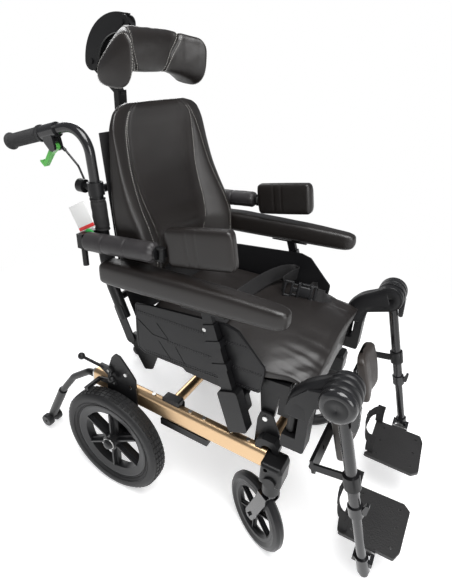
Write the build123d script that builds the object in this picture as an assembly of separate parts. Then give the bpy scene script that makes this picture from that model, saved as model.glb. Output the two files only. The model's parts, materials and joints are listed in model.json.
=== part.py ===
from build123d import *
import os
from math import radians, degrees, sin, cos, tan, atan2, hypot, sqrt

# Tilt-in-space wheelchair: base frame, tilting seat, reclining back, headrest and legrests.
#
# Millimetres, +Z up, the chair faces -Y, its left side is +X.  Everything is first laid out
# from a point on the ground under the rear axle and moved at the end, so that the
# finished chair stands on z = 0 with its box centred in X and Y.

# ---------------------------------------------------------------- driving dimensions
# rear wheels (12 inch) and swivel casters (8 inch)
REAR_WHEEL_R = 157.5
REAR_TRACK_HALF = 272.0
REAR_TYRE_W = 50.0
REAR_TYRE_SEAT_R = 121.0
REAR_RIM_IN_R = 93.0
REAR_HUB_R = 22.0
REAR_HUB_W = 46.0
REAR_AXLE_R = 8.0
HUB_CAP_R = 15.0
HUB_CAP_LENGTH = 14.0
SPOKES = 6
SPOKE_W = 20.0
SPOKE_T = 11.0
SPOKE_RIB_T = 5.0
SPOKE_RIB_W = 30.0
CASTER_R = 100.0
CASTER_TYRE_W = 28.0
CASTER_TYRE_SEAT_R = 76.0
CASTER_RIM_IN_R = 62.0
CASTER_HUB_R = 16.0
CASTER_AXLE_R = 5.0
CASTER_STEM_X = 249.0
CASTER_STEM_Y = -452.0
CASTER_TRAIL = 41.0
CASTER_TURN = 28.3
FORK_T = 4.0
FORK_W = 32.0
FORK_GAP = 3.5
STEM_R = 7.0
STEM_COLLAR_R = 15.0

# base frame
TUBE_X = 226.0
TUBE_W = 28.0
TUBE_H = 54.0
TUBE_WALL = 2.5
TUBE_CORNER = 12.0
TUBE_FRONT_Y = -424.0
TUBE_FRONT_Z = 289.0
TUBE_REAR_Y = 88.0
TUBE_RISE = 2.0
CROSS_TUBE_R = 14.0
CROSS_REAR_Y = -160.0
CROSS_FRONT_Y = -424.0
CROSS_Z = 318.0
PLATE_T = 4.5
HOUSING_R = 21.0
HOUSING_LOW_Z = 222.0
HOUSING_MID_Z = 258.0
HOUSING_TOP_Z = 315.2

# tilting seat
TILT_Y = -405.0
TILT_Z = 388.0
TILT_PIN_R = 6.0
RAIL_IN = 188.0
RAIL_OUT = 204.0
RAIL_H = 30.0
RAIL_REAR_Y = -22.0
RAIL_FRONT_Y = -448.0
RAIL_REAR_Z = 440.0
RAIL_RISE = 2.4
SEAT_PAN_T = 4.0
SEAT_HALF_W = 212.0
SEAT_FRONT_HALF_W = 192.0
SEAT_CROWN_Z = 560.0
SEAT_SIDE_Z = 522.0
SEAT_BACK_Y = -45.0
SEAT_NOSE_Y = -490.0
APRON_LOW_Z = 394.0
GUARD_IN = 220.0
GUARD_T = 5.0

# armrests
POST_X = 237.0
POST_LOW = (-358.0, 353.0)
POST_LEAN = 19.5
POST_OUTER_W = 18.0
POST_OUTER_D = 28.0
POST_WALL = 2.5
POST_OUTER_LENGTH = 268.0
POST_INNER_START = 190.0
RECEIVER_LENGTH = 108.0
RECEIVER_D = 50.0
RECEIVER_W = 28.0
ARMPAD_X = 236.0
ARMPAD_REAR_Y = 20.0
ARMPAD_FRONT_Y = -441.0
ARMPAD_REAR_Z = 630.0
ARMPAD_FRONT_Z = 651.0

# reclining back
BACK_PIVOT = (-25.0, 462.0)
BACK_PIN_R = 6.0
CANE_X = 200.0
CANE_R = 14.0
CANE_KNEE = (32.0, 598.0)
CANE_TOP = (56.0, 842.0)
CANE_BEND_R = 90.0
HANDLE_TUBE_R = 11.0
HANDLE_CORNER_Z = 963.0
HANDLE_END = (310.0, 896.0)
HANDLE_BEND_R = 55.0
GRIP_R = 16.0
GRIP_LENGTH = 112.0
SLIDE_FIT = 0.3

# headrest
HEAD_POST_Y = 143.0
HEAD_POST_LOW_Z = 800.0
HEAD_POST_TOP_Z = 1012.0
HEAD_POST_W = 30.0
HEAD_POST_D = 15.0
HEAD_JOINT_LOW = (215.0, 1070.0)
HEAD_JOINT_TOP = (113.0, 1152.0)
HEAD_LINK_T = 20.0
HEAD_CUSHION_Y = 62.0
HEAD_CUSHION_Z = 1097.0
HEAD_CENTRE_HALF = 62.0
HEAD_HALF_W = 151.0
HEAD_SEAM_TOP = 98.0
HEAD_SEAM_LOW = 50.0

# trunk supports
TRUNK_X = 238.5
TRUNK_REAR = (60.0, 713.0)
TRUNK_FRONT = (-138.0, 732.0)
TRUNK_R = 23.0
TRUNK_HINGE_Y = -150.0
TRUNK_PAD_T = 24.0
TRUNK_PAD_L = 160.0
TRUNK_PAD_H = 84.0
TRUNK_PAD_RISE = 10.0

# legrests
KNEE_Y = -561.0
KNEE_Z = 546.0
KNEE_R = 37.0
KNEE_IN = 200.0
KNEE_SPLIT = 224.0
KNEE_OUT = 282.0
LEG_X = 246.0
LEG_ANGLE = 16.0
LEG_TUBE_R = 12.5
LEG_TUBE_LENGTH = 288.0
LOWER_TUBE_R = 10.4
LOWER_TUBE_START = 234.0
LOWER_TUBE_END = 464.0
SWING_X = 223.0
SWING_Y = -470.0
SWING_PIN_R = 7.0
SWING_LOW_Z = 370.0
SWING_TOP_Z = 482.0
CALF_AT = 198.0
CALF_CLAMP_HALF = 17.0
CALF_X = 112.0
CALF_W = 118.0
CALF_H = 138.0
FOOT_Z = 134.0
FOOT_HINGE_X = 217.0
FOOT_HINGE_Y = -678.0
FOOT_IN_X = 52.0
FOOT_OUT_X = 208.0
FOOT_REAR_Y = -614.0
FOOT_FRONT_Y = -748.0
FOOT_T = 9.0
FOOT_HOLE_R = 3.5
FOOT_HOLES_X = (76.0, 130.0, 184.0)
FOOT_HOLES_Y = (-638.0, -728.0)

# tilt spring, handles, brakes and anti-tippers
TILT_BASE = (-160.0, 346.0)
TILT_SEAT = (-330.0, 438.0)
TILT_EYE_SLACK = 2.4
HANDLE_DEPTH = 110.0
BRAKE_PIVOT = (22.0, 366.0)
SHOE_PIVOT = (8.0, 331.0)
SHOE_AT = (60.0, 322.5)
ANTI_TIP_WHEEL = (318.0, 36.0)

# fits
PIN_FIT = 0.1
RUN_GAP = 0.4

EXPORT = {}


# ---------------------------------------------------------------- small helpers
def slab(sketch, x_from, x_to):
    """A side-view outline, drawn as (y, z), made solid between two x values."""
    return extrude(Plane.YZ.offset(x_from) * sketch, amount=x_to - x_from, dir=(1, 0, 0))


def outline(points, radius):
    """A closed outline with all its corners rounded alike."""
    shape = Polygon(*points, align=None)
    return fillet(shape.vertices(), radius)


def rod(start, end, radius):
    start, end = Vector(*start), Vector(*end)
    line = end - start
    align = (Align.CENTER, Align.CENTER, Align.MIN)
    return Plane(origin=start, z_dir=line) * Cylinder(radius, line.length, align=align)


def link(circle_a, circle_b):
    """The taut belt round two circles, each given as (y, z, radius)."""
    edges = []
    for y, z, radius in (circle_a, circle_b):
        edges += (Pos(y, z) * Circle(radius)).edges()
    return make_hull(edges)


def spun(points):
    """A ring about the x axis from an outline of (x, radius) points."""
    return revolve(Plane.XZ * Polygon(*points, align=None), axis=Axis.X)


def swept_round(path, radius):
    return sweep(Plane(origin=path @ 0, z_dir=path % 0) * Circle(radius), path=path)


def both(name, left):
    """Keeps one solid list for the left and its mirror image for the right."""
    EXPORT[name + "_left"] = left
    EXPORT[name + "_right"] = [mirror(solid, about=Plane.YZ) for solid in left]


def pair(left):
    return left + [mirror(solid, about=Plane.YZ) for solid in left]


def tube_z(y):
    """Height of the side tube's centre line."""
    return TUBE_FRONT_Z + (y - TUBE_FRONT_Y) * tan(radians(TUBE_RISE))


def rail_z(y):
    """Height of the seat rail's underside."""
    return RAIL_REAR_Z - (y - RAIL_REAR_Y) * tan(radians(RAIL_RISE))


def post_at(length):
    """A (y, z) point along the leaning armrest post."""
    lean = radians(POST_LEAN)
    return POST_LOW[0] + length * sin(lean), POST_LOW[1] + length * cos(lean)


def leg_at(length, back=0.0):
    """A (y, z) point down the leg tube, and square to it towards the back."""
    lean = radians(LEG_ANGLE)
    y = KNEE_Y - length * sin(lean) + back * cos(lean)
    z = KNEE_Z - length * cos(lean) - back * sin(lean)
    return y, z


def cane_y(z):
    """Centre line of the back cane at a height."""
    low, high = (BACK_PIVOT, CANE_KNEE) if z < CANE_KNEE[1] else (CANE_KNEE, CANE_TOP)
    return low[0] + (z - low[1]) * (high[0] - low[0]) / (high[1] - low[1])


# ---------------------------------------------------------------- rear wheels
def rear_tyre():
    half, seat, top = REAR_TYRE_W / 2, REAR_TYRE_SEAT_R, REAR_WHEEL_R
    wall = (seat + top) / 2
    ring = spun([(-half * 0.68, seat), (-half, wall - 4), (-half * 0.96, wall + 5),
                 (-half * 0.66, top - 4), (-half * 0.3, top), (half * 0.3, top),
                 (half * 0.66, top - 4), (half * 0.96, wall + 5), (half, wall - 4),
                 (half * 0.68, seat)])
    return ring


def spoked_rim(seat_r, in_r, seat_w, hub_r, hub_w, bore_r, web_t, web_w, rib_t, rib_w):
    """Rim ring, hub and spokes with a stiffening rib, moulded in one piece."""
    flange, lip = seat_w / 2, seat_w / 2 - 5
    ring = spun([(-flange, seat_r), (flange, seat_r), (flange, seat_r - 9), (lip, in_r),
                 (-lip, in_r), (-flange, seat_r - 9)])
    wheel = ring + Rotation(0, 90, 0) * Cylinder(hub_r, hub_w)
    length = in_r + 2 - hub_r * 0.6
    middle = (in_r + 2 + hub_r * 0.6) / 2
    for index in range(SPOKES):
        spoke = Pos(0, 0, middle) * (Box(web_t, web_w, length) + Box(rib_w, rib_t, length))
        wheel += Rotation(index * 360 / SPOKES, 0, 0) * spoke
    return wheel - Rotation(0, 90, 0) * Cylinder(bore_r, rib_w + hub_w)


def rear_wheels():
    centre = Pos(REAR_TRACK_HALF, 0, REAR_WHEEL_R)
    rim = spoked_rim(REAR_TYRE_SEAT_R - 0.2, REAR_RIM_IN_R, REAR_TYRE_W * 0.68, REAR_HUB_R,
                     REAR_HUB_W, REAR_AXLE_R + PIN_FIT, SPOKE_T, SPOKE_W, SPOKE_RIB_T,
                     SPOKE_RIB_W)
    base_x = REAR_HUB_W / 2
    cap = spun([(base_x, 0), (base_x, HUB_CAP_R), (base_x + HUB_CAP_LENGTH * 0.5, HUB_CAP_R),
                (base_x + HUB_CAP_LENGTH * 0.85, HUB_CAP_R * 0.7),
                (base_x + HUB_CAP_LENGTH, HUB_CAP_R * 0.25), (base_x + HUB_CAP_LENGTH, 0)])
    both("rear_tyre", [centre * rear_tyre()])
    both("rear_rim", [centre * rim, centre * cap])


# ---------------------------------------------------------------- casters
def caster_frame():
    """Where the swivelled caster stands: its stem on z, its trail along local +y."""
    return Pos(CASTER_STEM_X, CASTER_STEM_Y, 0) * Rotation(0, 0, CASTER_TURN)


def casters():
    half, seat = CASTER_TYRE_W / 2, CASTER_TYRE_SEAT_R
    tyre = spun([(-half * 0.7, seat), (-half, seat + 9), (-half * 0.8, CASTER_R - 5),
                 (-half * 0.35, CASTER_R), (half * 0.35, CASTER_R), (half * 0.8, CASTER_R - 5),
                 (half, seat + 9), (half * 0.7, seat)])
    rim = spoked_rim(seat - 0.2, CASTER_RIM_IN_R, CASTER_TYRE_W * 0.7, CASTER_HUB_R,
                     CASTER_TYRE_W, CASTER_AXLE_R + PIN_FIT, 5.0, 12.0, 3.0, 14.0)
    axle_at = Pos(0, CASTER_TRAIL, CASTER_R)
    both("caster_wheel", [caster_frame() * axle_at * tyre, caster_frame() * axle_at * rim])

    inner = half + FORK_GAP
    top_z = HOUSING_LOW_Z - 13
    blade = link((CASTER_TRAIL, CASTER_R, FORK_W / 2), (6, top_z - FORK_W / 2, FORK_W / 2))
    blade += Pos(6, top_z - FORK_W / 4) * Rectangle(FORK_W, FORK_W / 2)
    fork = slab(blade, inner, inner + FORK_T) + slab(blade, -inner - FORK_T, -inner)
    fork += Pos(0, 6, top_z - FORK_T / 2) * Box(2 * inner + 2, FORK_W, FORK_T)
    fork += Pos(0, 0, (top_z + HOUSING_LOW_Z - RUN_GAP) / 2) * Cylinder(
        STEM_COLLAR_R, HOUSING_LOW_Z - RUN_GAP - top_z)
    fork += Pos(0, 0, HOUSING_LOW_Z + 12) * Cylinder(STEM_R, 46)
    axle = rod((-inner - FORK_T - 5, CASTER_TRAIL, CASTER_R),
               (inner + FORK_T + 5, CASTER_TRAIL, CASTER_R), CASTER_AXLE_R)
    both("caster_fork", [caster_frame() * (fork + axle)])


def caster_housings():
    stem = Pos(CASTER_STEM_X, CASTER_STEM_Y, 0)
    barrel = Pos(0, 0, (HOUSING_LOW_Z + HOUSING_MID_Z) / 2) * Cylinder(
        HOUSING_R, HOUSING_MID_Z - HOUSING_LOW_Z)
    head_y = TUBE_FRONT_Y - CASTER_STEM_Y - 1.2
    head = outline([(-26, HOUSING_MID_Z - 4), (head_y, HOUSING_MID_Z - 4),
                    (head_y, HOUSING_TOP_Z), (-20, HOUSING_TOP_Z), (-26, HOUSING_TOP_Z - 12)], 4)
    inner_x = TUBE_X - TUBE_W / 2 - CASTER_STEM_X
    block = slab(head, inner_x, HOUSING_R + 1)
    block = fillet(block.edges().filter_by(Axis.Z).sort_by(Axis.Y)[:2], 9)
    boss = rod((HOUSING_R + 1, -1, HOUSING_MID_Z + 12), (HOUSING_R + 6, -1, HOUSING_MID_Z + 12), 15)
    eye = rod((HOUSING_R - 12, 12, HOUSING_TOP_Z - 14), (HOUSING_R + 4, 12, HOUSING_TOP_Z - 14), 5)
    bore = Pos(0, 0, HOUSING_LOW_Z + 12) * Cylinder(STEM_R + PIN_FIT, 60)
    EXPORT["caster_housings"] = pair([stem * (barrel + block + boss - eye - bore)])


# ---------------------------------------------------------------- base frame
def side_tubes():
    length = (TUBE_REAR_Y - TUBE_FRONT_Y) / cos(radians(TUBE_RISE))
    direction = Vector(0, cos(radians(TUBE_RISE)), sin(radians(TUBE_RISE)))
    front = Plane(origin=(TUBE_X, TUBE_FRONT_Y, TUBE_FRONT_Z), x_dir=(1, 0, 0), z_dir=direction)
    outer = RectangleRounded(TUBE_W, TUBE_H, TUBE_CORNER)
    inner = RectangleRounded(TUBE_W - 2 * TUBE_WALL, TUBE_H - 2 * TUBE_WALL,
                             TUBE_CORNER - TUBE_WALL)
    tube = extrude(front * (outer - inner), amount=length)
    EXPORT["side_tubes"] = pair([tube])


def cross_tubes():
    reach = TUBE_X - TUBE_W / 2
    tubes = []
    for y in (CROSS_REAR_Y, CROSS_FRONT_Y):
        tube = rod((-reach, y, CROSS_Z), (reach, y, CROSS_Z), CROSS_TUBE_R)
        tubes.append(tube - rod((-reach, y, CROSS_Z), (reach, y, CROSS_Z), CROSS_TUBE_R - 2.5))
    EXPORT["cross_tubes"] = tubes


def axle_plates():
    face_x = TUBE_X + TUBE_W / 2
    plate = outline([(-62, 250), (-62, 364), (-52, 379), (-16, 421), (0, 424), (12, 410),
                     (30, 362), (36, 300), (22, 150), (-22, 150)], 6)
    plate += Pos(0, REAR_WHEEL_R) * Circle(24)
    solid = slab(plate, face_x, face_x + PLATE_T)
    bolts = [(-43, 334, 5.2), (0, REAR_WHEEL_R, REAR_AXLE_R)]
    for y, z, radius in bolts:
        solid -= rod((face_x - 1, y, z), (face_x + PLATE_T + 1, y, z), radius)
    EXPORT["axle_plates"] = pair([solid])


def frame_brackets():
    """Tilt pivot brackets, rear cross tube clamps and the rails under the tubes."""
    inner = TUBE_X - TUBE_W / 2
    ear = outline([(-444, 300), (-384, 300), (-386, 380), (-392, 404), (-420, 404),
                   (-444, 350)], 7)
    ear_solid = slab(ear, inner - 5.5, inner - 0.3)
    top = tube_z(-430) + TUBE_H / 2 + 0.3
    block = slab(outline([(-452, top), (-396, top + 1.2), (-396, top + 20), (-410, top + 32),
                          (-440, top + 32), (-452, top + 18)], 3), inner - 1, inner + 22)
    front = ear_solid + block
    front -= rod((inner - 8, TILT_Y, TILT_Z), (inner + 30, TILT_Y, TILT_Z), TILT_PIN_R)
    front -= rod((0, CROSS_FRONT_Y, CROSS_Z), (inner + 30, CROSS_FRONT_Y, CROSS_Z),
                 CROSS_TUBE_R)
    rear_top = tube_z(CROSS_REAR_Y) + TUBE_H / 2
    clamp = slab(outline([(-188, rear_top - 30), (-132, rear_top - 30), (-132, rear_top + 6),
                          (-142, rear_top + 14), (-178, rear_top + 14),
                          (-188, rear_top + 4)], 4), inner - 3, inner)
    clamp += slab(outline([(-186, rear_top - 0.5), (-134, rear_top + 1.3),
                           (-136, rear_top + 14), (-184, rear_top + 14)], 3), inner - 3,
                  inner + 20)
    clamp -= rod((0, CROSS_REAR_Y, CROSS_Z), (inner + 1, CROSS_REAR_Y, CROSS_Z), CROSS_TUBE_R)
    low = TUBE_H / 2
    rail = slab(outline([(-272, tube_z(-272) - low - 21), (-132, tube_z(-132) - low - 21),
                         (-132, tube_z(-132) - low - 0.2), (-272, tube_z(-272) - low - 0.2)], 2),
                TUBE_X - 6, TUBE_X + 12)
    EXPORT["frame_brackets"] = pair([front, clamp, rail])


def frame_hardware():
    """Rear axles, tilt pins, tube plugs and bolt heads."""
    face_x = TUBE_X + TUBE_W / 2
    pieces = [rod((face_x, 0, REAR_WHEEL_R),
                  (REAR_TRACK_HALF + REAR_HUB_W / 2 - 2, 0, REAR_WHEEL_R), REAR_AXLE_R)]
    inner = TUBE_X - TUBE_W / 2
    pieces.append(rod((RAIL_IN - 4, TILT_Y, TILT_Z), (inner + 3, TILT_Y, TILT_Z), TILT_PIN_R))
    for y in (-105, -215, -255, -330, -375):
        top = tube_z(y) + TUBE_H / 2
        pieces.append(Pos(TUBE_X, y, top + 1.5) * Cylinder(5, 2.5))
    pieces.append(rod((face_x + PLATE_T, -32, 372), (face_x + PLATE_T + 4, -32, 372), 5))
    both_sides = pair(pieces)
    EXPORT["frame_hardware"] = both_sides


# ---------------------------------------------------------------- tilting seat
def seat_frame():
    front, rear = RAIL_FRONT_Y, RAIL_REAR_Y
    rail = slab(Polygon((rear, rail_z(rear)), (rear, rail_z(rear) + RAIL_H),
                        (front, rail_z(front) + RAIL_H), (front, rail_z(front)), align=None),
                RAIL_IN, RAIL_OUT)
    lug = slab(link((TILT_Y, TILT_Z, 15), (TILT_Y, rail_z(TILT_Y) + 10, 24)),
               RAIL_IN, RAIL_OUT - 2)
    plate = outline([(rear, rail_z(rear) + RAIL_H), (rear - 12, 430), (-64, 380), (-88, 388),
                     (-104, 432), (-180, 432), (-190, 424), (-286, 420), (-302, 402),
                     (-350, 402), (-360, 440), (-366, rail_z(-366) + RAIL_H)], 4)
    side = slab(plate, RAIL_OUT - 1, RAIL_OUT + 3)
    arm_y, arm_z = post_at(70)
    arm = slab(outline([(arm_y - 34, arm_z - 22), (arm_y + 20, arm_z - 22),
                        (arm_y + 34, arm_z + 22), (arm_y - 20, arm_z + 22)], 5),
               RAIL_OUT - 1, POST_X - RECEIVER_W / 2)
    swing = slab(Polygon((SWING_Y - 3, 404), (front + 20, 404), (front + 20, 466),
                         (front + 1, 466), (front + 1, 446), (SWING_Y - 3, 446), align=None),
                 RAIL_OUT - 10, RAIL_OUT - 2)
    swing += Pos((RAIL_OUT - 4 + SWING_X) / 2, SWING_Y, 425) * Box(
        SWING_X - RAIL_OUT + 4, 10, 40)
    swing += Pos(SWING_X, SWING_Y, 425) * Cylinder(SWING_PIN_R + 4, 44)
    pin = Pos(SWING_X, SWING_Y, (SWING_LOW_Z + SWING_TOP_Z) / 2) * Cylinder(
        SWING_PIN_R, SWING_TOP_Z - SWING_LOW_Z)
    back_y, back_z = BACK_PIVOT
    ear = slab(link((back_y, back_z, 14), (back_y - 36, rail_z(back_y - 36) + 16, 13)),
               RAIL_OUT - 1, RAIL_OUT + 3)
    ear += rod((RAIL_OUT, back_y, back_z), (RAIL_OUT + 7, back_y, back_z), BACK_PIN_R)
    left = rail + lug + side + arm + swing + pin + ear
    left -= rod((RAIL_IN - 8, TILT_Y, TILT_Z), (RAIL_OUT + 8, TILT_Y, TILT_Z),
                TILT_PIN_R + PIN_FIT)
    frame = left + mirror(left, about=Plane.YZ)
    for y in (-110, -330, front + 12):
        middle = rail_z(y) + RAIL_H / 2
        frame += rod((-RAIL_IN - 1, y, middle), (RAIL_IN + 1, y, middle), 11)
    pan_y = (RAIL_FRONT_Y + SEAT_BACK_Y) / 2
    pan = Plane(origin=(0, pan_y, rail_z(pan_y) + RAIL_H + SEAT_PAN_T / 2 - 0.5),
                x_dir=(1, 0, 0), z_dir=(0, sin(radians(RAIL_RISE)), cos(radians(RAIL_RISE))))
    frame += pan * Box(2 * RAIL_OUT, SEAT_BACK_Y - RAIL_FRONT_Y, SEAT_PAN_T)
    EXPORT["seat_frame"] = [frame]


def crowned(half, low, side, crown, draw, tuck):
    """Cross-section of a stuffed cushion: flat back, drawn-in sides and a crowned face."""
    middle = (low + side) / 2
    edges = [Line((-half + draw, low), (half - draw, low)),
             ThreePointArc((half - draw, low), (half, middle), (half - tuck, side)),
             ThreePointArc((half - tuck, side), (0, crown), (-half + tuck, side)),
             ThreePointArc((-half + tuck, side), (-half, middle), (-half + draw, low))]
    return make_face(Curve() + edges)


def seat_soft():
    """Seat cushion with its waterfall front, and the apron that hangs below it."""
    low = rail_z(SEAT_BACK_Y) + RAIL_H + SEAT_PAN_T

    def station(y, half, lift, side, crown):
        base = rail_z(y) + RAIL_H + SEAT_PAN_T + lift + 0.2
        return Plane(origin=(0, y, 0), x_dir=(1, 0, 0), z_dir=(0, -1, 0)) * crowned(
            half, base, side, crown, 5, 9)

    side, crown = SEAT_SIDE_Z, SEAT_CROWN_Z
    full, narrow = SEAT_HALF_W, SEAT_FRONT_HALF_W
    sections = [station(SEAT_BACK_Y, full - 14, 10, side - 16, crown - 26),
                station(SEAT_BACK_Y - 16, full - 2, 0, side - 4, crown - 12),
                station(-150, full, 0, side, crown - 3),
                station(-400, full, 0, side + 4, crown),
                station(-446, narrow + 4, 0, side + 2, crown - 2),
                station(SEAT_NOSE_Y + 18, narrow, 2, side - 4, crown - 12),
                station(SEAT_NOSE_Y, narrow - 12, 4, side - 8, crown - 28)]
    cushion = loft(sections, ruled=True)
    apron_y = SEAT_NOSE_Y + 12
    hem = outline([(apron_y - 5, APRON_LOW_Z), (apron_y, APRON_LOW_Z - 2),
                   (apron_y + 6, rail_z(apron_y) + RAIL_H - 6),
                   (apron_y + 6, rail_z(apron_y) + RAIL_H + SEAT_PAN_T + 1.8),
                   (apron_y - 4, rail_z(apron_y) + RAIL_H + SEAT_PAN_T + 1.8)], 1.5)
    EXPORT["seat_cushion"] = [cushion, slab(hem, -SEAT_FRONT_HALF_W, SEAT_FRONT_HALF_W)]


def post_box(start, end, width, depth):
    """A bar along the leaning armrest post, between two lengths from its foot."""
    lean = radians(POST_LEAN)
    y, z = post_at((start + end) / 2)
    plane = Plane(origin=(POST_X, y, z), x_dir=(1, 0, 0), z_dir=(0, sin(lean), cos(lean)))
    return plane * Box(width, depth, end - start)


def armrests():
    hollow_w = POST_OUTER_W - 2 * POST_WALL
    hollow_d = POST_OUTER_D - 2 * POST_WALL
    outer = post_box(0, POST_OUTER_LENGTH, POST_OUTER_W, POST_OUTER_D)
    hollow = post_box(12, POST_OUTER_LENGTH + 1, hollow_w, hollow_d)
    receiver = post_box(0, RECEIVER_LENGTH, RECEIVER_W, RECEIVER_D)
    receiver = fillet(receiver.edges().filter_by(Axis.X), 9)
    receiver -= post_box(-1, RECEIVER_LENGTH + 1, POST_OUTER_W, POST_OUTER_D)
    EXPORT["armrest_supports"] = pair([outer - hollow, receiver])

    slope = (ARMPAD_REAR_Z - ARMPAD_FRONT_Z) / (ARMPAD_REAR_Y - ARMPAD_FRONT_Y)
    post_y, post_z = post_at(POST_OUTER_LENGTH + 34)
    under = ARMPAD_REAR_Z + (post_y - ARMPAD_REAR_Y) * slope - 10
    reach = (under - POST_LOW[1]) / cos(radians(POST_LEAN)) + 1
    inner = post_box(POST_INNER_START, reach, hollow_w - 2 * SLIDE_FIT,
                     hollow_d - 2 * SLIDE_FIT)
    plate = [(post_y + 52, under + 52 * slope), (post_y - 52, under - 52 * slope),
             (post_y - 52, under - 52 * slope + 4.5), (post_y + 52, under + 52 * slope + 4.5)]
    inner += slab(Polygon(*plate, align=None), POST_X - 13, POST_X + 13)
    both("armrest_post", [inner])

    length = hypot(ARMPAD_REAR_Y - ARMPAD_FRONT_Y, ARMPAD_REAR_Z - ARMPAD_FRONT_Z)
    base = Plane(origin=(ARMPAD_X, ARMPAD_REAR_Y, ARMPAD_REAR_Z - 5.5), x_dir=(1, 0, 0),
                 z_dir=(0, -cos(atan2(-slope, 1)), sin(atan2(-slope, 1))))

    def station(along, half, low, side, crown):
        return base.offset(along) * crowned(half, low, side, crown, 4, 7)

    sections = [station(0, 21, 8, 36, 44), station(10, 28, 0, 44, 56),
                station(90, 29.5, 0, 46, 59), station(300, 26, 0, 42, 54),
                station(length - 60, 22, 0, 37, 48), station(length - 14, 19, 1, 30, 40),
                station(length, 12, 8, 25, 32)]
    both("armrest_pad", [loft(sections, ruled=True)])


def skirt_guards():
    sheet = outline([(-59, 585), (-300, 608), (-330, 600), (-397, 530), (-392, 463),
                     (-75, 449), (-58, 470)], 10)
    guard = slab(sheet, GUARD_IN, GUARD_IN + GUARD_T)
    lean = radians(POST_LEAN)
    for length in (168.0, 222.0):
        y, z = post_at(length)
        plane = Plane(origin=(POST_X - 2, y, z), x_dir=(1, 0, 0), z_dir=(0, sin(lean), cos(lean)))
        loop = plane * Box(POST_OUTER_W + 8, POST_OUTER_D + 8, 16)
        guard += loop - post_box(length - 20, length + 20, POST_OUTER_W, POST_OUTER_D)
    EXPORT["skirt_guards"] = pair([guard])


# ---------------------------------------------------------------- tilt spring


def tilt_line(length):
    angle = atan2(TILT_SEAT[1] - TILT_BASE[1], TILT_SEAT[0] - TILT_BASE[0])
    return TILT_BASE[0] + length * cos(angle), TILT_BASE[1] + length * sin(angle)


def tilt_spring():
    span = hypot(TILT_SEAT[0] - TILT_BASE[0], TILT_SEAT[1] - TILT_BASE[1])
    (y0, z0), (y1, z1), (y2, z2) = tilt_line(0), tilt_line(15), tilt_line(112)
    cylinder = rod((0, y1, z1), (0, y2, z2), 15)
    cylinder += slab(link((y0, z0, 9), (y1, z1, 9)), -7, 7)
    cylinder -= slab(Pos(y0, z0) * Circle(5 + PIN_FIT), -8, 8)
    y3, z3 = tilt_line(22)
    cylinder -= rod((0, y3, z3), (0, *tilt_line(114)), 6 + PIN_FIT)
    EXPORT["tilt_cylinder"] = [cylinder]
    bar = rod((0, *tilt_line(54)), (0, *tilt_line(span - 12)), 6)
    bar += slab(link((*tilt_line(span), 13), (*tilt_line(span - 14), 7)), -6, 6)
    bar -= slab(Pos(*tilt_line(span)) * Circle(5 + TILT_EYE_SLACK), -7, 7)
    EXPORT["tilt_rod"] = [bar]


def tilt_lugs():
    """The two clevises: one on the rear cross tube, one under the seat bar."""
    low = slab(link((TILT_BASE[0], TILT_BASE[1], 10), (CROSS_REAR_Y, CROSS_Z + 8, 12)), 7.5, 12)
    low = low + mirror(low, about=Plane.YZ)
    low += rod((-12, *TILT_BASE), (12, *TILT_BASE), 5)
    low -= rod((-13, CROSS_REAR_Y, CROSS_Z), (13, CROSS_REAR_Y, CROSS_Z), CROSS_TUBE_R)
    bar_z = rail_z(TILT_SEAT[0]) + RAIL_H / 2
    high = slab(link((*TILT_SEAT, 9), (TILT_SEAT[0], bar_z, 11)), 7.5, 12)
    high = high + mirror(high, about=Plane.YZ)
    high += rod((-12, *TILT_SEAT), (12, *TILT_SEAT), 5)
    return low, high


# ---------------------------------------------------------------- reclining back
def cane_point(z, rear=0.0):
    return cane_y(z) + rear, z


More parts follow.
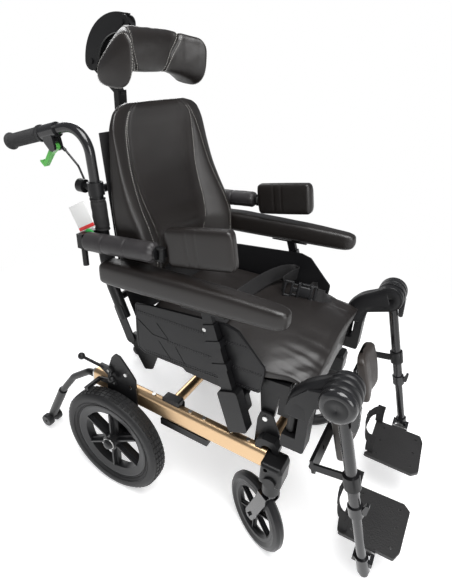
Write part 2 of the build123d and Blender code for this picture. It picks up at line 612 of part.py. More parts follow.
def back_frame():
    path = FilletPolyline((CANE_X, *cane_point(512)), (CANE_X, *CANE_KNEE),
                          (CANE_X, *CANE_TOP), radius=CANE_BEND_R)
    cane = swept_round(path, CANE_R)
    bore_low = CANE_TOP[1] - HANDLE_DEPTH - 45
    bore = rod((CANE_X, *cane_point(bore_low)), (CANE_X, *cane_point(CANE_TOP[1] + 2)),
               HANDLE_TUBE_R + PIN_FIT)
    collar = rod((CANE_X, *cane_point(812)), (CANE_X, *cane_point(840)), 18)
    back_y, back_z = BACK_PIVOT
    pivot = slab(link((back_y, back_z, 13), (*cane_point(540), 12)), RAIL_OUT + 3.4,
                 RAIL_OUT + 7)
    pivot -= rod((RAIL_OUT, back_y, back_z), (RAIL_OUT + 9, back_y, back_z),
                 BACK_PIN_R + PIN_FIT)
    socket_y, socket_z = TRUNK_REAR
    arm = Pos((CANE_X + TRUNK_X + 12) / 2, socket_y + 9.6, socket_z) * Box(
        TRUNK_X + 12 - CANE_X, 16, 34)
    arm += rod((TRUNK_X, socket_y + 9.6, socket_z - 62), (TRUNK_X, socket_y + 9.6, socket_z), 7)
    stub = Pos(CANE_X, cane_y(socket_z) + 10, socket_z) * Box(18, 30, 34)
    left = cane + collar + pivot + arm + stub - bore
    frame = left + mirror(left, about=Plane.YZ)
    for z in (560, 618, 822):
        frame += rod((-CANE_X + 8, *cane_point(z)), (CANE_X - 8, *cane_point(z)), 9)
    for side in (-1, 1):
        frame -= rod((side * CANE_X, *cane_point(bore_low)),
                     (side * CANE_X, *cane_point(CANE_TOP[1] + 2)), HANDLE_TUBE_R + PIN_FIT)
    tie_y = (cane_y(822) + HEAD_POST_Y) / 2
    frame += Pos(0, tie_y, 822) * Box(40, HEAD_POST_Y - cane_y(822), 30)
    frame += Pos(0, HEAD_POST_Y, 838) * Box(HEAD_POST_W + 14, HEAD_POST_D + 14, 62)
    frame -= Pos(0, HEAD_POST_Y, 838) * Box(
        HEAD_POST_W + 2 * SLIDE_FIT, HEAD_POST_D + 2 * SLIDE_FIT, 64)
    pieces = [frame]
    for side in (-1, 1):
        knob_y, knob_z = cane_point(826, 18.8)
        x = side * CANE_X
        pieces.append(rod((x, knob_y, knob_z), (x, knob_y + 12, knob_z), 7)
                      + rod((x, knob_y + 12, knob_z), (x, knob_y + 30, knob_z), 15))
    EXPORT["back_frame"] = pieces


def back_upholstery():
    """Sling between the canes with a sleeve round each of them."""
    front = CANE_R + 4
    profile = [(*cane_point(566, -front),), (*cane_point(CANE_KNEE[1] + 4, -front),),
               (*cane_point(842, -front),), (48, 941), (52, 941),
               (*cane_point(842, -CANE_R),), (*cane_point(CANE_KNEE[1] + 4, -CANE_R),),
               (*cane_point(566, -CANE_R),)]
    sling = slab(Polygon(*profile, align=None), -CANE_X + 19, CANE_X - 19)
    lashing = Polygon(cane_point(616, -front), cane_point(634, -front),
                      cane_point(634, -CANE_R - 0.3), cane_point(616, -CANE_R - 0.3), align=None)
    sling += slab(lashing, -CANE_X, CANE_X)
    sleeves = []
    for low, high in ((640, 693), (734, 804)):
        sleeve = rod((CANE_X, *cane_point(low)), (CANE_X, *cane_point(high)), CANE_R + 4)
        sleeves.append(sleeve - rod((CANE_X, *cane_point(low - 5)),
                                    (CANE_X, *cane_point(high + 5)), CANE_R))
    EXPORT["back_upholstery"] = [sling] + pair(sleeves)


def back_soft():
    """Contoured back cushion: side wings stand forward of the middle."""
    def station(z, half, rear, wing, middle):
        inner = half * 0.58
        side_x = half - 8
        points = [(half - 6, -rear), (half, -(rear + wing) / 2), (side_x, -wing - 6),
                  (half * 0.8, -wing + 8), (inner, -middle - 3), (0, -middle)]
        (ax, ay), (bx, by), (cx, cy), (dx, dy), (ex, ey), (fx, fy) = points
        edges = [Line((-ax, ay), (ax, ay)),
                 ThreePointArc((ax, ay), (bx, by), (cx, cy)),
                 ThreePointArc((cx, cy), (dx, dy), (ex, ey)),
                 ThreePointArc((ex, ey), (fx, fy), (-ex, ey)),
                 ThreePointArc((-ex, ey), (-dx, dy), (-cx, cy)),
                 ThreePointArc((-cx, cy), (-bx, by), (-ax, ay))]
        plane = Plane(origin=(0, 0, z), x_dir=(1, 0, 0), z_dir=(0, 0, -1))
        return plane * make_face(Curve() + edges)

    front = CANE_R + 4.3
    sections = [station(576, 176, cane_y(576) - front - 8, -40, -28),
                station(590, 198, cane_y(590) - front - 1, -76, -40),
                station(622, 204, cane_y(622) - front - 1, -96, -46),
                station(700, 198, cane_y(700) - front, -78, -36),
                station(780, 193, cane_y(780) - front, -42, -12),
                station(870, 186, 32, -4, 2),
                station(945, 178, 32, 14, 4),
                station(980, 160, 34, 20, 6),
                station(996, 128, 40, 22, 16)]
    EXPORT["back_cushion"] = [loft(sections, ruled=True)]


def trunk_supports():
    rear, front = TRUNK_REAR, TRUNK_FRONT
    roll = rod((TRUNK_X, *rear), (TRUNK_X, *front), TRUNK_R)
    roll = fillet(roll.edges().filter_by(GeomType.CIRCLE), 7)
    axis = (Vector(0, *front) - Vector(0, *rear)).normalized()
    start = Vector(TRUNK_X, *front)
    cap = rod(start, start + axis * 3, 15)
    ear_y = (front[0] + TRUNK_HINGE_Y) / 2 - 3
    for side in (-1, 1):
        ear = Pos(TRUNK_X, ear_y, front[1] + side * 13) * Box(
            12, front[0] - TRUNK_HINGE_Y + 1, 5)
        ear += Pos(TRUNK_X, TRUNK_HINGE_Y, front[1] + side * 13) * Cylinder(6, 5)
        cap += ear
    cap += Pos(TRUNK_X, TRUNK_HINGE_Y, front[1]) * Cylinder(3, 30)
    EXPORT["trunk_arms"] = pair([roll, cap])

    hinge_z = front[1]
    barrel = Pos(TRUNK_X, TRUNK_HINGE_Y, hinge_z) * Cylinder(6.5, 20)
    pad_x = TRUNK_X - 26
    outer_x = pad_x + TRUNK_PAD_T / 2
    barrel += slab(Polygon((TRUNK_HINGE_Y + 3, hinge_z - 9), (TRUNK_HINGE_Y + 3, hinge_z + 9),
                           (-215, hinge_z + 24), (-215, hinge_z + 6), align=None),
                   outer_x + 0.1, outer_x + 6)
    barrel += Pos((outer_x + TRUNK_X) / 2, TRUNK_HINGE_Y, hinge_z) * Box(
        TRUNK_X - outer_x, 6, 18)
    barrel -= Pos(TRUNK_X, TRUNK_HINGE_Y, hinge_z) * Cylinder(3 + PIN_FIT, 30)
    rise = radians(TRUNK_PAD_RISE)
    centre = (outer_x + 0.1, -232, 757)
    pad_plane = Plane(origin=centre, x_dir=(0, -cos(rise), sin(rise)), z_dir=(-1, 0, 0))
    shape = RectangleRounded(TRUNK_PAD_L, TRUNK_PAD_H, 14)
    small = RectangleRounded(TRUNK_PAD_L - 10, TRUNK_PAD_H - 10, 12)
    sections = [pad_plane * small, pad_plane.offset(5) * shape,
                pad_plane.offset(TRUNK_PAD_T - 7) * shape,
                pad_plane.offset(TRUNK_PAD_T) * small]
    both("trunk_pad", [loft(sections, ruled=True), barrel])


# ---------------------------------------------------------------- push handles
def push_handles():
    low = CANE_TOP[1] - HANDLE_DEPTH
    path = FilletPolyline((CANE_X, *cane_point(low)), (CANE_X, *cane_point(HANDLE_CORNER_Z)),
                          (CANE_X, *HANDLE_END), radius=HANDLE_BEND_R)
    tube = swept_round(path, HANDLE_TUBE_R)
    corner = Vector(CANE_X, *cane_point(HANDLE_CORNER_Z))
    end = Vector(CANE_X, *HANDLE_END)
    along = (end - corner).normalized()
    down = Vector(0, along.Z, -along.Y)

    def on_handle(length, drop=0.0):
        spot = end - along * length + down * drop
        return spot.X, spot.Y, spot.Z

    grip = rod(on_handle(GRIP_LENGTH), on_handle(0), GRIP_R)
    grip += rod(on_handle(8), on_handle(-4), GRIP_R + 4)
    grip += rod(on_handle(GRIP_LENGTH), on_handle(GRIP_LENGTH - 6), GRIP_R + 3)
    grip -= rod(on_handle(GRIP_LENGTH + 1), on_handle(0), HANDLE_TUBE_R)
    both("handle_grip", [grip])

    clamp = rod(on_handle(GRIP_LENGTH + 52), on_handle(GRIP_LENGTH + 4), 16)
    clamp -= rod(on_handle(GRIP_LENGTH + 54), on_handle(GRIP_LENGTH + 2), HANDLE_TUBE_R)
    pivot = on_handle(GRIP_LENGTH + 30, 33)
    cheeks = link((pivot[1], pivot[2], 10), (*on_handle(GRIP_LENGTH + 26, 16)[1:], 15))
    cheek = slab(cheeks, CANE_X - 13, CANE_X - 6.5) + slab(cheeks, CANE_X + 6.5, CANE_X + 13)
    cheek += slab(Pos(*on_handle(GRIP_LENGTH + 28, 17)[1:]) * Rectangle(24, 8),
                  CANE_X - 8, CANE_X + 8)
    cheek -= rod(on_handle(GRIP_LENGTH + 60), on_handle(GRIP_LENGTH - 10), HANDLE_TUBE_R + 2)
    clamp += cheek
    clamp += rod((CANE_X - 12, *pivot[1:]), (CANE_X + 12, *pivot[1:]), 3)
    cable_x = CANE_X - 24
    start = Vector(CANE_X - 13, pivot[1] - 4, pivot[2] - 1)
    route = FilletPolyline((CANE_X - 15, pivot[1] - 6, pivot[2] - 3),
                           (cable_x + 4, 122, 862), (cable_x, 104, 816), (cable_x, 92, 770),
                           radius=18)
    cable = swept_round(route, 2.5)
    ferrule = rod((CANE_X - 13, pivot[1], pivot[2]), route @ 0.06, 4)
    cable = cable - ferrule
    ferrule = ferrule - clamp
    both("push_handle", [tube, clamp + ferrule, cable])

    tip = (202, 857)
    lever = slab(link((pivot[1], pivot[2], 8), (pivot[1] + 14, pivot[2] - 14, 5)),
                 CANE_X - 6, CANE_X + 6)
    lever += slab(link((pivot[1] + 14, pivot[2] - 14, 5), (*tip, 4)), CANE_X - 6, CANE_X + 6)
    lever += slab(link((*tip, 4), (tip[0] + 10, tip[1] + 7, 3)), CANE_X - 6, CANE_X + 6)
    lever -= rod((CANE_X - 8, *pivot[1:]), (CANE_X + 8, *pivot[1:]), 3 + PIN_FIT)
    both("tilt_lever", [lever])
    return pivot


# ---------------------------------------------------------------- headrest
def headrest():
    low, top = HEAD_JOINT_LOW, HEAD_JOINT_TOP
    post = Pos(0, HEAD_POST_Y, (HEAD_POST_LOW_Z + HEAD_POST_TOP_Z) / 2) * Box(
        HEAD_POST_W, HEAD_POST_D, HEAD_POST_TOP_Z - HEAD_POST_LOW_Z)
    slant = link((HEAD_POST_Y, HEAD_POST_TOP_Z - 6, 9), (*low, 15))
    post += slab(slant, -8, 8)
    post -= rod((-9, *low), (9, *low), 6 + PIN_FIT)
    EXPORT["headrest_post"] = [post]

    arc = ThreePointArc(low, (188, 1128), top)
    ring = trace(arc, 2 * HEAD_LINK_T)
    plate = ring + Pos(*low) * Circle(HEAD_LINK_T) + Pos(*top) * Circle(17)
    cheeks = slab(plate, 8.4, 14) + slab(plate, -14, -8.4)
    middle = Pos(188, 1128) * Circle(11)
    cheeks += slab(middle, -9, 9)
    for spot in (low, top):
        cheeks += rod((-18, *spot), (18, *spot), 6)
    EXPORT["headrest_link"] = [cheeks]

    block = slab(link((*top, 12), (HEAD_CUSHION_Y + 26, HEAD_CUSHION_Z + 34, 10)), -8, 8)
    block += slab(link((HEAD_CUSHION_Y + 26, HEAD_CUSHION_Z + 34, 10),
                       (HEAD_CUSHION_Y + 24, HEAD_CUSHION_Z - 6, 8)), -8, 8)
    block += slab(outline([(HEAD_CUSHION_Y + 15, HEAD_CUSHION_Z - 30),
                           (HEAD_CUSHION_Y + 21, HEAD_CUSHION_Z - 30),
                           (HEAD_CUSHION_Y + 21, HEAD_CUSHION_Z + 38),
                           (HEAD_CUSHION_Y + 15, HEAD_CUSHION_Z + 38)], 1.5), -30, 30)
    block -= rod((-9, *top), (9, *top), 6 + PIN_FIT)

    def section(x, front, back, ridge, low, top, flat=False):
        tall, deep = top - low, back - front
        middle = back if flat else back - 0.05 * deep
        upper = back if flat else ridge + 0.45 * (back - ridge)
        shape = Polygon((ridge, top), (front + 0.15 * (ridge - front), top - 0.12 * tall),
                        (front, top - 0.35 * tall), (front + 2, low + 0.38 * tall),
                        (front + 0.12 * deep, low + 0.12 * tall), (front + 0.35 * deep, low),
                        (back - 0.15 * deep, low + 0.03 * tall), (back, low + 0.17 * tall),
                        (middle, low + 0.42 * tall), (upper, low + 0.8 * tall), align=None)
        return Plane.YZ.offset(x) * shape

    front, back = HEAD_CUSHION_Y - 25, HEAD_CUSHION_Y + 14.7
    low, top = HEAD_CUSHION_Z - 43, HEAD_CUSHION_Z + 52
    side = [section(HEAD_CENTRE_HALF, front, back, front + 21, low, top, True),
            section(98, front - 19, back + 3, front + 1, low - 8, top - 5),
            section(125, front - 43, back + 6, front - 19, low - 20, top - 10),
            section(HEAD_HALF_W - 7, front - 58, back + 5, front - 34, low - 30, top - 19),
            section(HEAD_HALF_W, front - 49, back - 7, front - 25, low - 20, top - 37)]
    wing = loft(side, ruled=True)
    centre = loft([section(-HEAD_CENTRE_HALF, front, back, front + 21, low, top, True),
                   section(HEAD_CENTRE_HALF, front, back, front + 21, low, top, True)], ruled=True)
    whole = centre + wing + mirror(wing, about=Plane.YZ)
    lean = degrees(atan2(HEAD_SEAM_TOP - HEAD_SEAM_LOW, top - low))
    for turn in (-1, 1):
        cut = Plane(origin=(turn * (HEAD_SEAM_TOP + HEAD_SEAM_LOW) / 2, back - 30,
                            (low + top) / 2)) * Rot(0, turn * lean, 0) * Box(0.4, 300, 300)
        whole -= cut
    cushions = list(whole.solids())
    EXPORT["headrest_cushion"] = [*cushions, block]


# ---------------------------------------------------------------- legrests
def knee_housings():
    """Swing-away arm with its two bosses round the seat's post and the hub of the knee."""
    side = outline([(-455, 363), (-455, 472), (-465, 500), (-494, 532), (-530, 540),
                    (-536, 515), (-515, 495), (-508, 462), (-508, 363)], 7)
    arm = slab(side, KNEE_IN + 3, LEG_X - 3)
    hub = link((KNEE_Y, KNEE_Z, KNEE_R - 3), (-512, 510, 16))
    arm += slab(hub, KNEE_IN, KNEE_SPLIT - 2)
    arm -= rod((KNEE_SPLIT - 1.6, KNEE_Y, KNEE_Z), (KNEE_OUT, KNEE_Y, KNEE_Z), KNEE_R + 2)
    arm -= Pos(SWING_X, -468, 425) * Box(60, 36, 56)
    arm -= Pos(SWING_X, SWING_Y, 425) * Cylinder(SWING_PIN_R + 6, 56)
    arm -= Pos(SWING_X, SWING_Y, 430) * Cylinder(SWING_PIN_R + PIN_FIT, 160)
    arm += rod((KNEE_SPLIT - 3, KNEE_Y, KNEE_Z), (KNEE_OUT - 14, KNEE_Y, KNEE_Z), 8)
    both("knee_housing", [arm])


def leg_rod(start, end, radius, back=0.0):
    return rod((LEG_X, *leg_at(start, back)), (LEG_X, *leg_at(end, back)), radius)


def hangers():
    drum = rod((KNEE_SPLIT + 0.4, KNEE_Y, KNEE_Z), (KNEE_OUT, KNEE_Y, KNEE_Z), KNEE_R)
    drum = fillet(drum.edges().filter_by(GeomType.CIRCLE).sort_by(Axis.X)[-1], 12)
    drum -= rod((KNEE_SPLIT, KNEE_Y, KNEE_Z), (KNEE_OUT - 13, KNEE_Y, KNEE_Z), 8 + PIN_FIT)
    lever = slab(link((*leg_at(20, -26), 9), (*leg_at(62, -20), 6)), LEG_X - 8, LEG_X + 8)
    tube = leg_rod(24, LEG_TUBE_LENGTH, LEG_TUBE_R)
    collar = leg_rod(LEG_TUBE_LENGTH - 26, LEG_TUBE_LENGTH, LEG_TUBE_R + 3.5)
    tab = slab(link((*leg_at(LEG_TUBE_LENGTH - 13, -18), 6),
                    (*leg_at(LEG_TUBE_LENGTH - 30, -26), 4)), LEG_X - 5, LEG_X + 5)
    whole = drum + lever + tube + collar + tab
    whole -= rod((KNEE_SPLIT - 1, KNEE_Y, KNEE_Z), (KNEE_OUT - 13, KNEE_Y, KNEE_Z), 8 + PIN_FIT)
    whole -= leg_rod(128, LEG_TUBE_LENGTH + 20, LOWER_TUBE_R + PIN_FIT)
    both("hanger", [whole])


def calf_supports():
    clamp = leg_rod(CALF_AT - CALF_CLAMP_HALF, CALF_AT + CALF_CLAMP_HALF, LEG_TUBE_R + 5)
    clamp -= leg_rod(CALF_AT - 26, CALF_AT + 26, LEG_TUBE_R + PIN_FIT)
    bar = slab(link((*leg_at(CALF_AT, 20), 9), (*leg_at(CALF_AT - 8, 84), 8)),
               LEG_X - 9, LEG_X - 3)
    cross_y, cross_z = leg_at(CALF_AT - 8, 84)
    arm = Box(LEG_X - 3 - CALF_X, 8, 34) - Rot(90, 0, 0) * Cylinder(5, 20)
    bar += Pos((LEG_X - 3 + CALF_X) / 2, cross_y, cross_z) * Rot(-LEG_ANGLE, 0, 0) * arm
    pad_y, pad_z = leg_at(CALF_AT - 26, 41)
    lean = radians(LEG_ANGLE)
    plane = Plane(origin=(CALF_X, pad_y, pad_z), x_dir=(1, 0, 0),
                  z_dir=(0, -cos(lean), sin(lean)))
    stem_y, stem_z = leg_at(CALF_AT - 14, 70)
    bar += slab(link((cross_y, cross_z, 6), (stem_y, stem_z, 6)), CALF_X - 4, CALF_X + 4)
    bar += plane.offset(-24) * Box(60, 70, 5)
    bar -= leg_rod(CALF_AT - 60, CALF_AT + 60, LEG_TUBE_R + PIN_FIT)
    pad_sections = []
    for depth, grow in ((-21.4, -12), (-16, -2), (0, 0), (8, -4), (17, -26)):
        shape = RectangleRounded(CALF_W + grow, CALF_H + grow, 24)
        pad_sections.append(plane.offset(depth) * shape)
    both("calf_support", [clamp + bar, loft(pad_sections, ruled=True)])


def lower_legs():
    tube = leg_rod(LOWER_TUBE_START, LOWER_TUBE_END, LOWER_TUBE_R)
    tube += leg_rod(412, 452, LOWER_TUBE_R + 4)
    hinge_z = FOOT_Z
    for y in (FOOT_HINGE_Y + 18, FOOT_HINGE_Y - 18):
        lug = Pos((FOOT_HINGE_X + LEG_X) / 2, y, hinge_z) * Box(LEG_X - FOOT_HINGE_X, 8, 12)
        lug += rod((FOOT_HINGE_X, y - 4, hinge_z), (FOOT_HINGE_X, y + 4, hinge_z), 7)
        tube += lug
    tube += Pos(LEG_X - 3, FOOT_HINGE_Y, hinge_z) * Box(10, 44, 12)
    pin = rod((FOOT_HINGE_X, FOOT_HINGE_Y - 22, hinge_z),
              (FOOT_HINGE_X, FOOT_HINGE_Y + 22, hinge_z), 3.5)
    both("lower_tube", [tube + pin])


def footplates():
    outer = [(FOOT_OUT_X, FOOT_REAR_Y + 2), (FOOT_OUT_X, FOOT_FRONT_Y + 10),
             (FOOT_OUT_X - 24, FOOT_FRONT_Y), (FOOT_IN_X + 16, FOOT_FRONT_Y - 4),
             (FOOT_IN_X, FOOT_FRONT_Y + 12), (FOOT_IN_X + 4, FOOT_REAR_Y + 12),
             (FOOT_IN_X + 16, FOOT_REAR_Y)]
    low = FOOT_Z - FOOT_T / 2
    plate = extrude(Plane.XY.offset(low) * outline(outer, 5), amount=FOOT_T, dir=(0, 0, 1))
    for x in FOOT_HOLES_X:
        for y in FOOT_HOLES_Y:
            plate -= Pos(x, y, FOOT_Z) * Cylinder(FOOT_HOLE_R, FOOT_T + 2)
    barrel = rod((FOOT_HINGE_X, FOOT_HINGE_Y - 13.6, FOOT_Z),
                 (FOOT_HINGE_X, FOOT_HINGE_Y + 13.6, FOOT_Z), 7)
    barrel += Pos((FOOT_HINGE_X + FOOT_OUT_X) / 2 - 2, FOOT_HINGE_Y, FOOT_Z) * Box(
        FOOT_HINGE_X - FOOT_OUT_X + 2, 26, FOOT_T)
    plate += barrel
    plate -= rod((FOOT_HINGE_X, FOOT_HINGE_Y - 20, FOOT_Z),
                 (FOOT_HINGE_X, FOOT_HINGE_Y + 20, FOOT_Z), 3.5 + PIN_FIT)
    both("footplate", [plate])


def heel_straps():
    """Webbing loop behind the heel, ended by a tab on each rear corner of the plate."""
    low = FOOT_Z + FOOT_T / 2 + 0.2
    outer_end, inner_end = (FOOT_OUT_X - 8, FOOT_REAR_Y - 12), (FOOT_IN_X + 16, FOOT_REAR_Y - 6)
    mid = ((outer_end[0] + inner_end[0]) / 2, FOOT_REAR_Y + 22)
    arc = ThreePointArc((outer_end[0], FOOT_REAR_Y + 4), mid, (inner_end[0], FOOT_REAR_Y + 6))
    band = extrude(Plane.XY.offset(low + 24) * trace(arc, 3), amount=42)
    for x, y in (outer_end, inner_end):
        tab = Pos(x, (y + FOOT_REAR_Y + 4) / 2, low + 33) * Box(
            3, FOOT_REAR_Y + 8 - y, 66)
        foot = Pos(x, y + 4, low + 1.5) * Box(14, 12, 3)
        band += tab + foot
    both("heel_strap", [band])


# ---------------------------------------------------------------- brakes


def brakes():
    face = TUBE_X + TUBE_W / 2 + PLATE_T
    y, z = BRAKE_PIVOT
    hub = link((y, z, 13), (y + 22, z + 6, 8))
    lever = slab(hub, face + RUN_GAP, face + 7)
    ball = (face + 13, 106, 384)
    lever += rod((face + 5, y + 16, z + 4), ball, 4) + Pos(*ball) * Sphere(9.5)
    front = (face + 15, 4, 352)
    lever += rod((face + 5, y - 4, z - 3), front, 4) + Pos(*front) * Sphere(9.5)
    lever -= rod((face, y, z), (face + 9, y, z), 4 + PIN_FIT)
    both("brake_lever", [lever])

    y, z = SHOE_PIVOT
    arm = slab(link((y, z, 9), (*SHOE_AT, 6)), face + RUN_GAP, face + 5)
    arm -= rod((face, y, z), (face + 9, y, z), 4 + PIN_FIT)
    turn = -degrees(atan2(SHOE_AT[0], SHOE_AT[1] - REAR_WHEEL_R))
    bar = Pos(face + 27, *SHOE_AT) * Rotation(turn, 0, 0) * Box(50, 13, 8)
    both("brake_shoe", [arm + bar])
    pins = [rod((face - PLATE_T, *BRAKE_PIVOT), (face + 7.5, *BRAKE_PIVOT), 4),
            rod((face - PLATE_T, *SHOE_PIVOT), (face + 5.5, *SHOE_PIVOT), 4)]
    return pins


# ---------------------------------------------------------------- anti-tippers


def anti_tippers():
    rise = radians(TUBE_RISE)
    plug_y = TUBE_REAR_Y - 34
    start = (TUBE_X, plug_y, tube_z(plug_y))
    straight = (TUBE_X, 118, tube_z(118))
    route = FilletPolyline(start, straight, (TUBE_X, 186, 258), (TUBE_X, 243, 182),
                           (TUBE_X, 268, 137), radius=34)
    tube = swept_round(route, 9.5)
    sleeve_end = (TUBE_X, 309, 58)
    sleeve = rod((TUBE_X, 243, 182), sleeve_end, 13)
    tongue = slab(link((sleeve_end[1], sleeve_end[2], 8), (*ANTI_TIP_WHEEL, 8)),
                  TUBE_X - 5, TUBE_X + 5)
    button = rod((TUBE_X, 262, 148), (TUBE_X - 16, 262, 148), 4)
    axle = rod((TUBE_X - 28, *ANTI_TIP_WHEEL), (TUBE_X + 28, *ANTI_TIP_WHEEL), 4)
    both("anti_tipper", [tube + sleeve + tongue + button + axle])
    wheels = []
    for side in (-1, 1):
        near = TUBE_X + side * 6
        far = TUBE_X + side * 26
        wheel = rod((near, *ANTI_TIP_WHEEL), (far, *ANTI_TIP_WHEEL), 20)
        wheel = fillet(wheel.edges().filter_by(GeomType.CIRCLE), 4)
        wheel -= rod((near, *ANTI_TIP_WHEEL), (far, *ANTI_TIP_WHEEL), 4 + PIN_FIT)
        wheels.append(wheel)
    both("anti_tip_wheels", wheels)

    plug = Plane(origin=(TUBE_X, TUBE_REAR_Y, tube_z(TUBE_REAR_Y)), x_dir=(1, 0, 0),
                 z_dir=(0, cos(rise), sin(rise)))
    body = extrude(plug.offset(-26) * RectangleRounded(
        TUBE_W - 2 * TUBE_WALL, TUBE_H - 2 * TUBE_WALL, TUBE_CORNER - TUBE_WALL), amount=26)
    body += extrude(plug * RectangleRounded(TUBE_W, TUBE_H, TUBE_CORNER), amount=4)
    body -= rod((TUBE_X, plug_y, tube_z(plug_y)), (TUBE_X, 112, tube_z(112)), 9.5 + PIN_FIT)
    return body


# ---------------------------------------------------------------- lap belt
def lap_belt():
    """Strap lying over the cushion crown, with the tongue and the buckle at its middle."""
    y = -292.0
    half = SEAT_HALF_W - 9
    crown = SEAT_CROWN_Z + 1.0
    side = SEAT_SIDE_Z + 5
    arc = ThreePointArc((-half, side), (0, crown), (half, side))
    lift = -0.75
    strap = extrude(Plane(origin=(0, y + 19, lift), x_dir=(1, 0, 0), z_dir=(0, -1, 0))
                    * trace(arc, 2), amount=38)
    buckle = Pos(0, y, crown + lift + 5.5) * Box(62, 44, 9)
    buckle = fillet(buckle.edges().filter_by(Axis.Z), 8)
    buckle = chamfer(buckle.faces().sort_by(Axis.Z)[-1].edges(), 2)
    tongue = Pos(46, y, crown + lift + 3.6) * Box(29.4, 36, 3)
    EXPORT["lap_belt"] = [strap, buckle, tongue]


# ---------------------------------------------------------------- put together
rear_wheels()
casters()
caster_housings()
side_tubes()
cross_tubes()
axle_plates()
frame_brackets()
frame_hardware()
seat_frame()
seat_soft()
armrests()
skirt_guards()
tilt_spring()
low_clevis, high_clevis = tilt_lugs()
back_frame()
back_upholstery()
back_soft()
trunk_supports()
lever_pivot = push_handles()
headrest()
knee_housings()
hangers()
calf_supports()
lower_legs()
footplates()
heel_straps()
brake_pins = brakes()
tube_plug = anti_tippers()
lap_belt()
EXPORT["frame_hardware"] += pair(brake_pins + [tube_plug])
for tube_pin in brake_pins:
    for index, offset in ((0, 1), (1, -1)):
        pin = tube_pin if offset == 1 else mirror(tube_pin, about=Plane.YZ)
        EXPORT["axle_plates"][index] -= pin
EXPORT["frame_brackets"].append(low_clevis)
EXPORT["seat_frame"] = [EXPORT["seat_frame"][0] + high_clevis]

everything = Compound(children=[solid for group in EXPORT.values() for solid in group])
box = everything.bounding_box()
SHIFT = Pos(-(box.min.X + box.max.X) / 2, -(box.min.Y + box.max.Y) / 2, -box.min.Z)
SHIFT_Y = -(box.min.Y + box.max.Y) / 2
SHIFT_Z = -box.min.Z

if __name__ == "__main__":
    os.makedirs("parts", exist_ok=True)
    for name, solids in EXPORT.items():
        group = Compound(children=[SHIFT * solid for solid in solids])
        export_step(group, f"parts/{name}.step")
    print(len(EXPORT), "nodes", box.size, "shift", SHIFT_Y, SHIFT_Z)
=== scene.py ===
import json
from math import copysign, cos, degrees, exp, hypot, pi, radians, sin, sqrt
import bpy
import bmesh
from mathutils import Matrix, Vector, noise


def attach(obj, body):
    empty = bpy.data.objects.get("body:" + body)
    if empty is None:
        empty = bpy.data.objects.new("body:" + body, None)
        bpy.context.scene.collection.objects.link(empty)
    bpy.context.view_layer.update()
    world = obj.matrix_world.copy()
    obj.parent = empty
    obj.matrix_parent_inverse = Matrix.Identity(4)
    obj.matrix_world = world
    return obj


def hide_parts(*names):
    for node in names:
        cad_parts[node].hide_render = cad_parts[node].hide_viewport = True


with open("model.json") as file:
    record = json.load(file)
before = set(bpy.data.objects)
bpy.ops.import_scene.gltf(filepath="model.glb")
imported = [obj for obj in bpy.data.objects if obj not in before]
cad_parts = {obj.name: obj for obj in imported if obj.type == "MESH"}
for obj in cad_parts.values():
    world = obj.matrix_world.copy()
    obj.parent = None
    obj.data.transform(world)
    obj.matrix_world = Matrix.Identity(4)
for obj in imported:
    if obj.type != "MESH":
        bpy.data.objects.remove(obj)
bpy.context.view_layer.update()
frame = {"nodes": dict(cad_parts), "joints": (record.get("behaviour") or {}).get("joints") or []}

nodes = frame["nodes"]

# ------------ studio
# A pale sweep under three big soft lamps.  The camera stands where the photograph was
# taken from: chest height off the chair's right front corner, looking down at it.
rear_axle = next(j for j in frame["joints"] if j["name"] == "rear_wheel_spin_left")
AXLE_Y = rear_axle["pos_m"][1]
SIDES = ((1, "left"), (-1, "right"))
UP, SIDEWAYS = Vector((0, 0, 1)), Vector((1, 0, 0))


def at(x, y, z):
    """Millimetres from the ground under the rear axle, as a point in the row frame."""
    return Vector((x / 1000, y / 1000 + AXLE_Y, z / 1000))


def placed(name, data):
    """A new object for a mesh, curve, lamp or camera, linked into the scene."""
    made = bpy.data.objects.new(name, data)
    bpy.context.scene.collection.objects.link(made)
    return made


def add_node(tree, kind, **values):
    """A new node with some inputs set; _ stands for the space in an input's name."""
    made = tree.nodes.new(kind)
    for name, value in values.items():
        made.inputs[name.replace("_", " ")].default_value = value
    return made


def wire(tree, *pairs):
    """Links each (output, input) pair."""
    for source, target in pairs:
        tree.links.new(source, target)


CAMERA_TURN = radians(-62.332)
CAMERA_TILT = radians(28.382)
CAMERA_ROLL = 0.0515
CAMERA_PLACE = (-908.36, -654.65, 1099.78)
FOCAL_PIXELS, PHOTO_HEIGHT, FILM_HEIGHT = 439.48, 584, 36
view_back = Vector((sin(CAMERA_TURN) * cos(CAMERA_TILT),
                    -cos(CAMERA_TURN) * cos(CAMERA_TILT), sin(CAMERA_TILT)))
view_side = (-view_back).cross(UP).normalized()
view_up = view_side.cross(-view_back)
across = view_side * cos(CAMERA_ROLL) + view_up * sin(CAMERA_ROLL)
upright = view_up * cos(CAMERA_ROLL) - view_side * sin(CAMERA_ROLL)
lens = bpy.data.cameras.new("photo_camera")
lens.lens = FOCAL_PIXELS / PHOTO_HEIGHT * FILM_HEIGHT
camera = placed("photo_camera", lens)
camera.matrix_world = Matrix.Translation(at(*CAMERA_PLACE)) @ Matrix(
    (across, upright, view_back)).transposed().to_4x4()
bpy.context.scene.camera = camera


def soft_lamp(name, place, aim, size, watts):
    light = bpy.data.lights.new(name, "AREA")
    light.shape = "SQUARE"
    light.size = size
    light.energy = watts
    lamp = placed(name, light)
    lamp.location = place
    lamp.rotation_euler = (Vector(aim) - Vector(place)).to_track_quat("-Z", "Y").to_euler()


soft_lamp("overhead_lamp", (-0.6, -0.6, 3.0), (0, 0, 0.5), 1.8, 95)
soft_lamp("front_lamp", (-1.6, -2.6, 1.6), (0, 0, 0.6), 1.5, 40)
soft_lamp("rear_lamp", (1.8, 2.2, 2.0), (0, 0, 0.6), 1.4, 30)

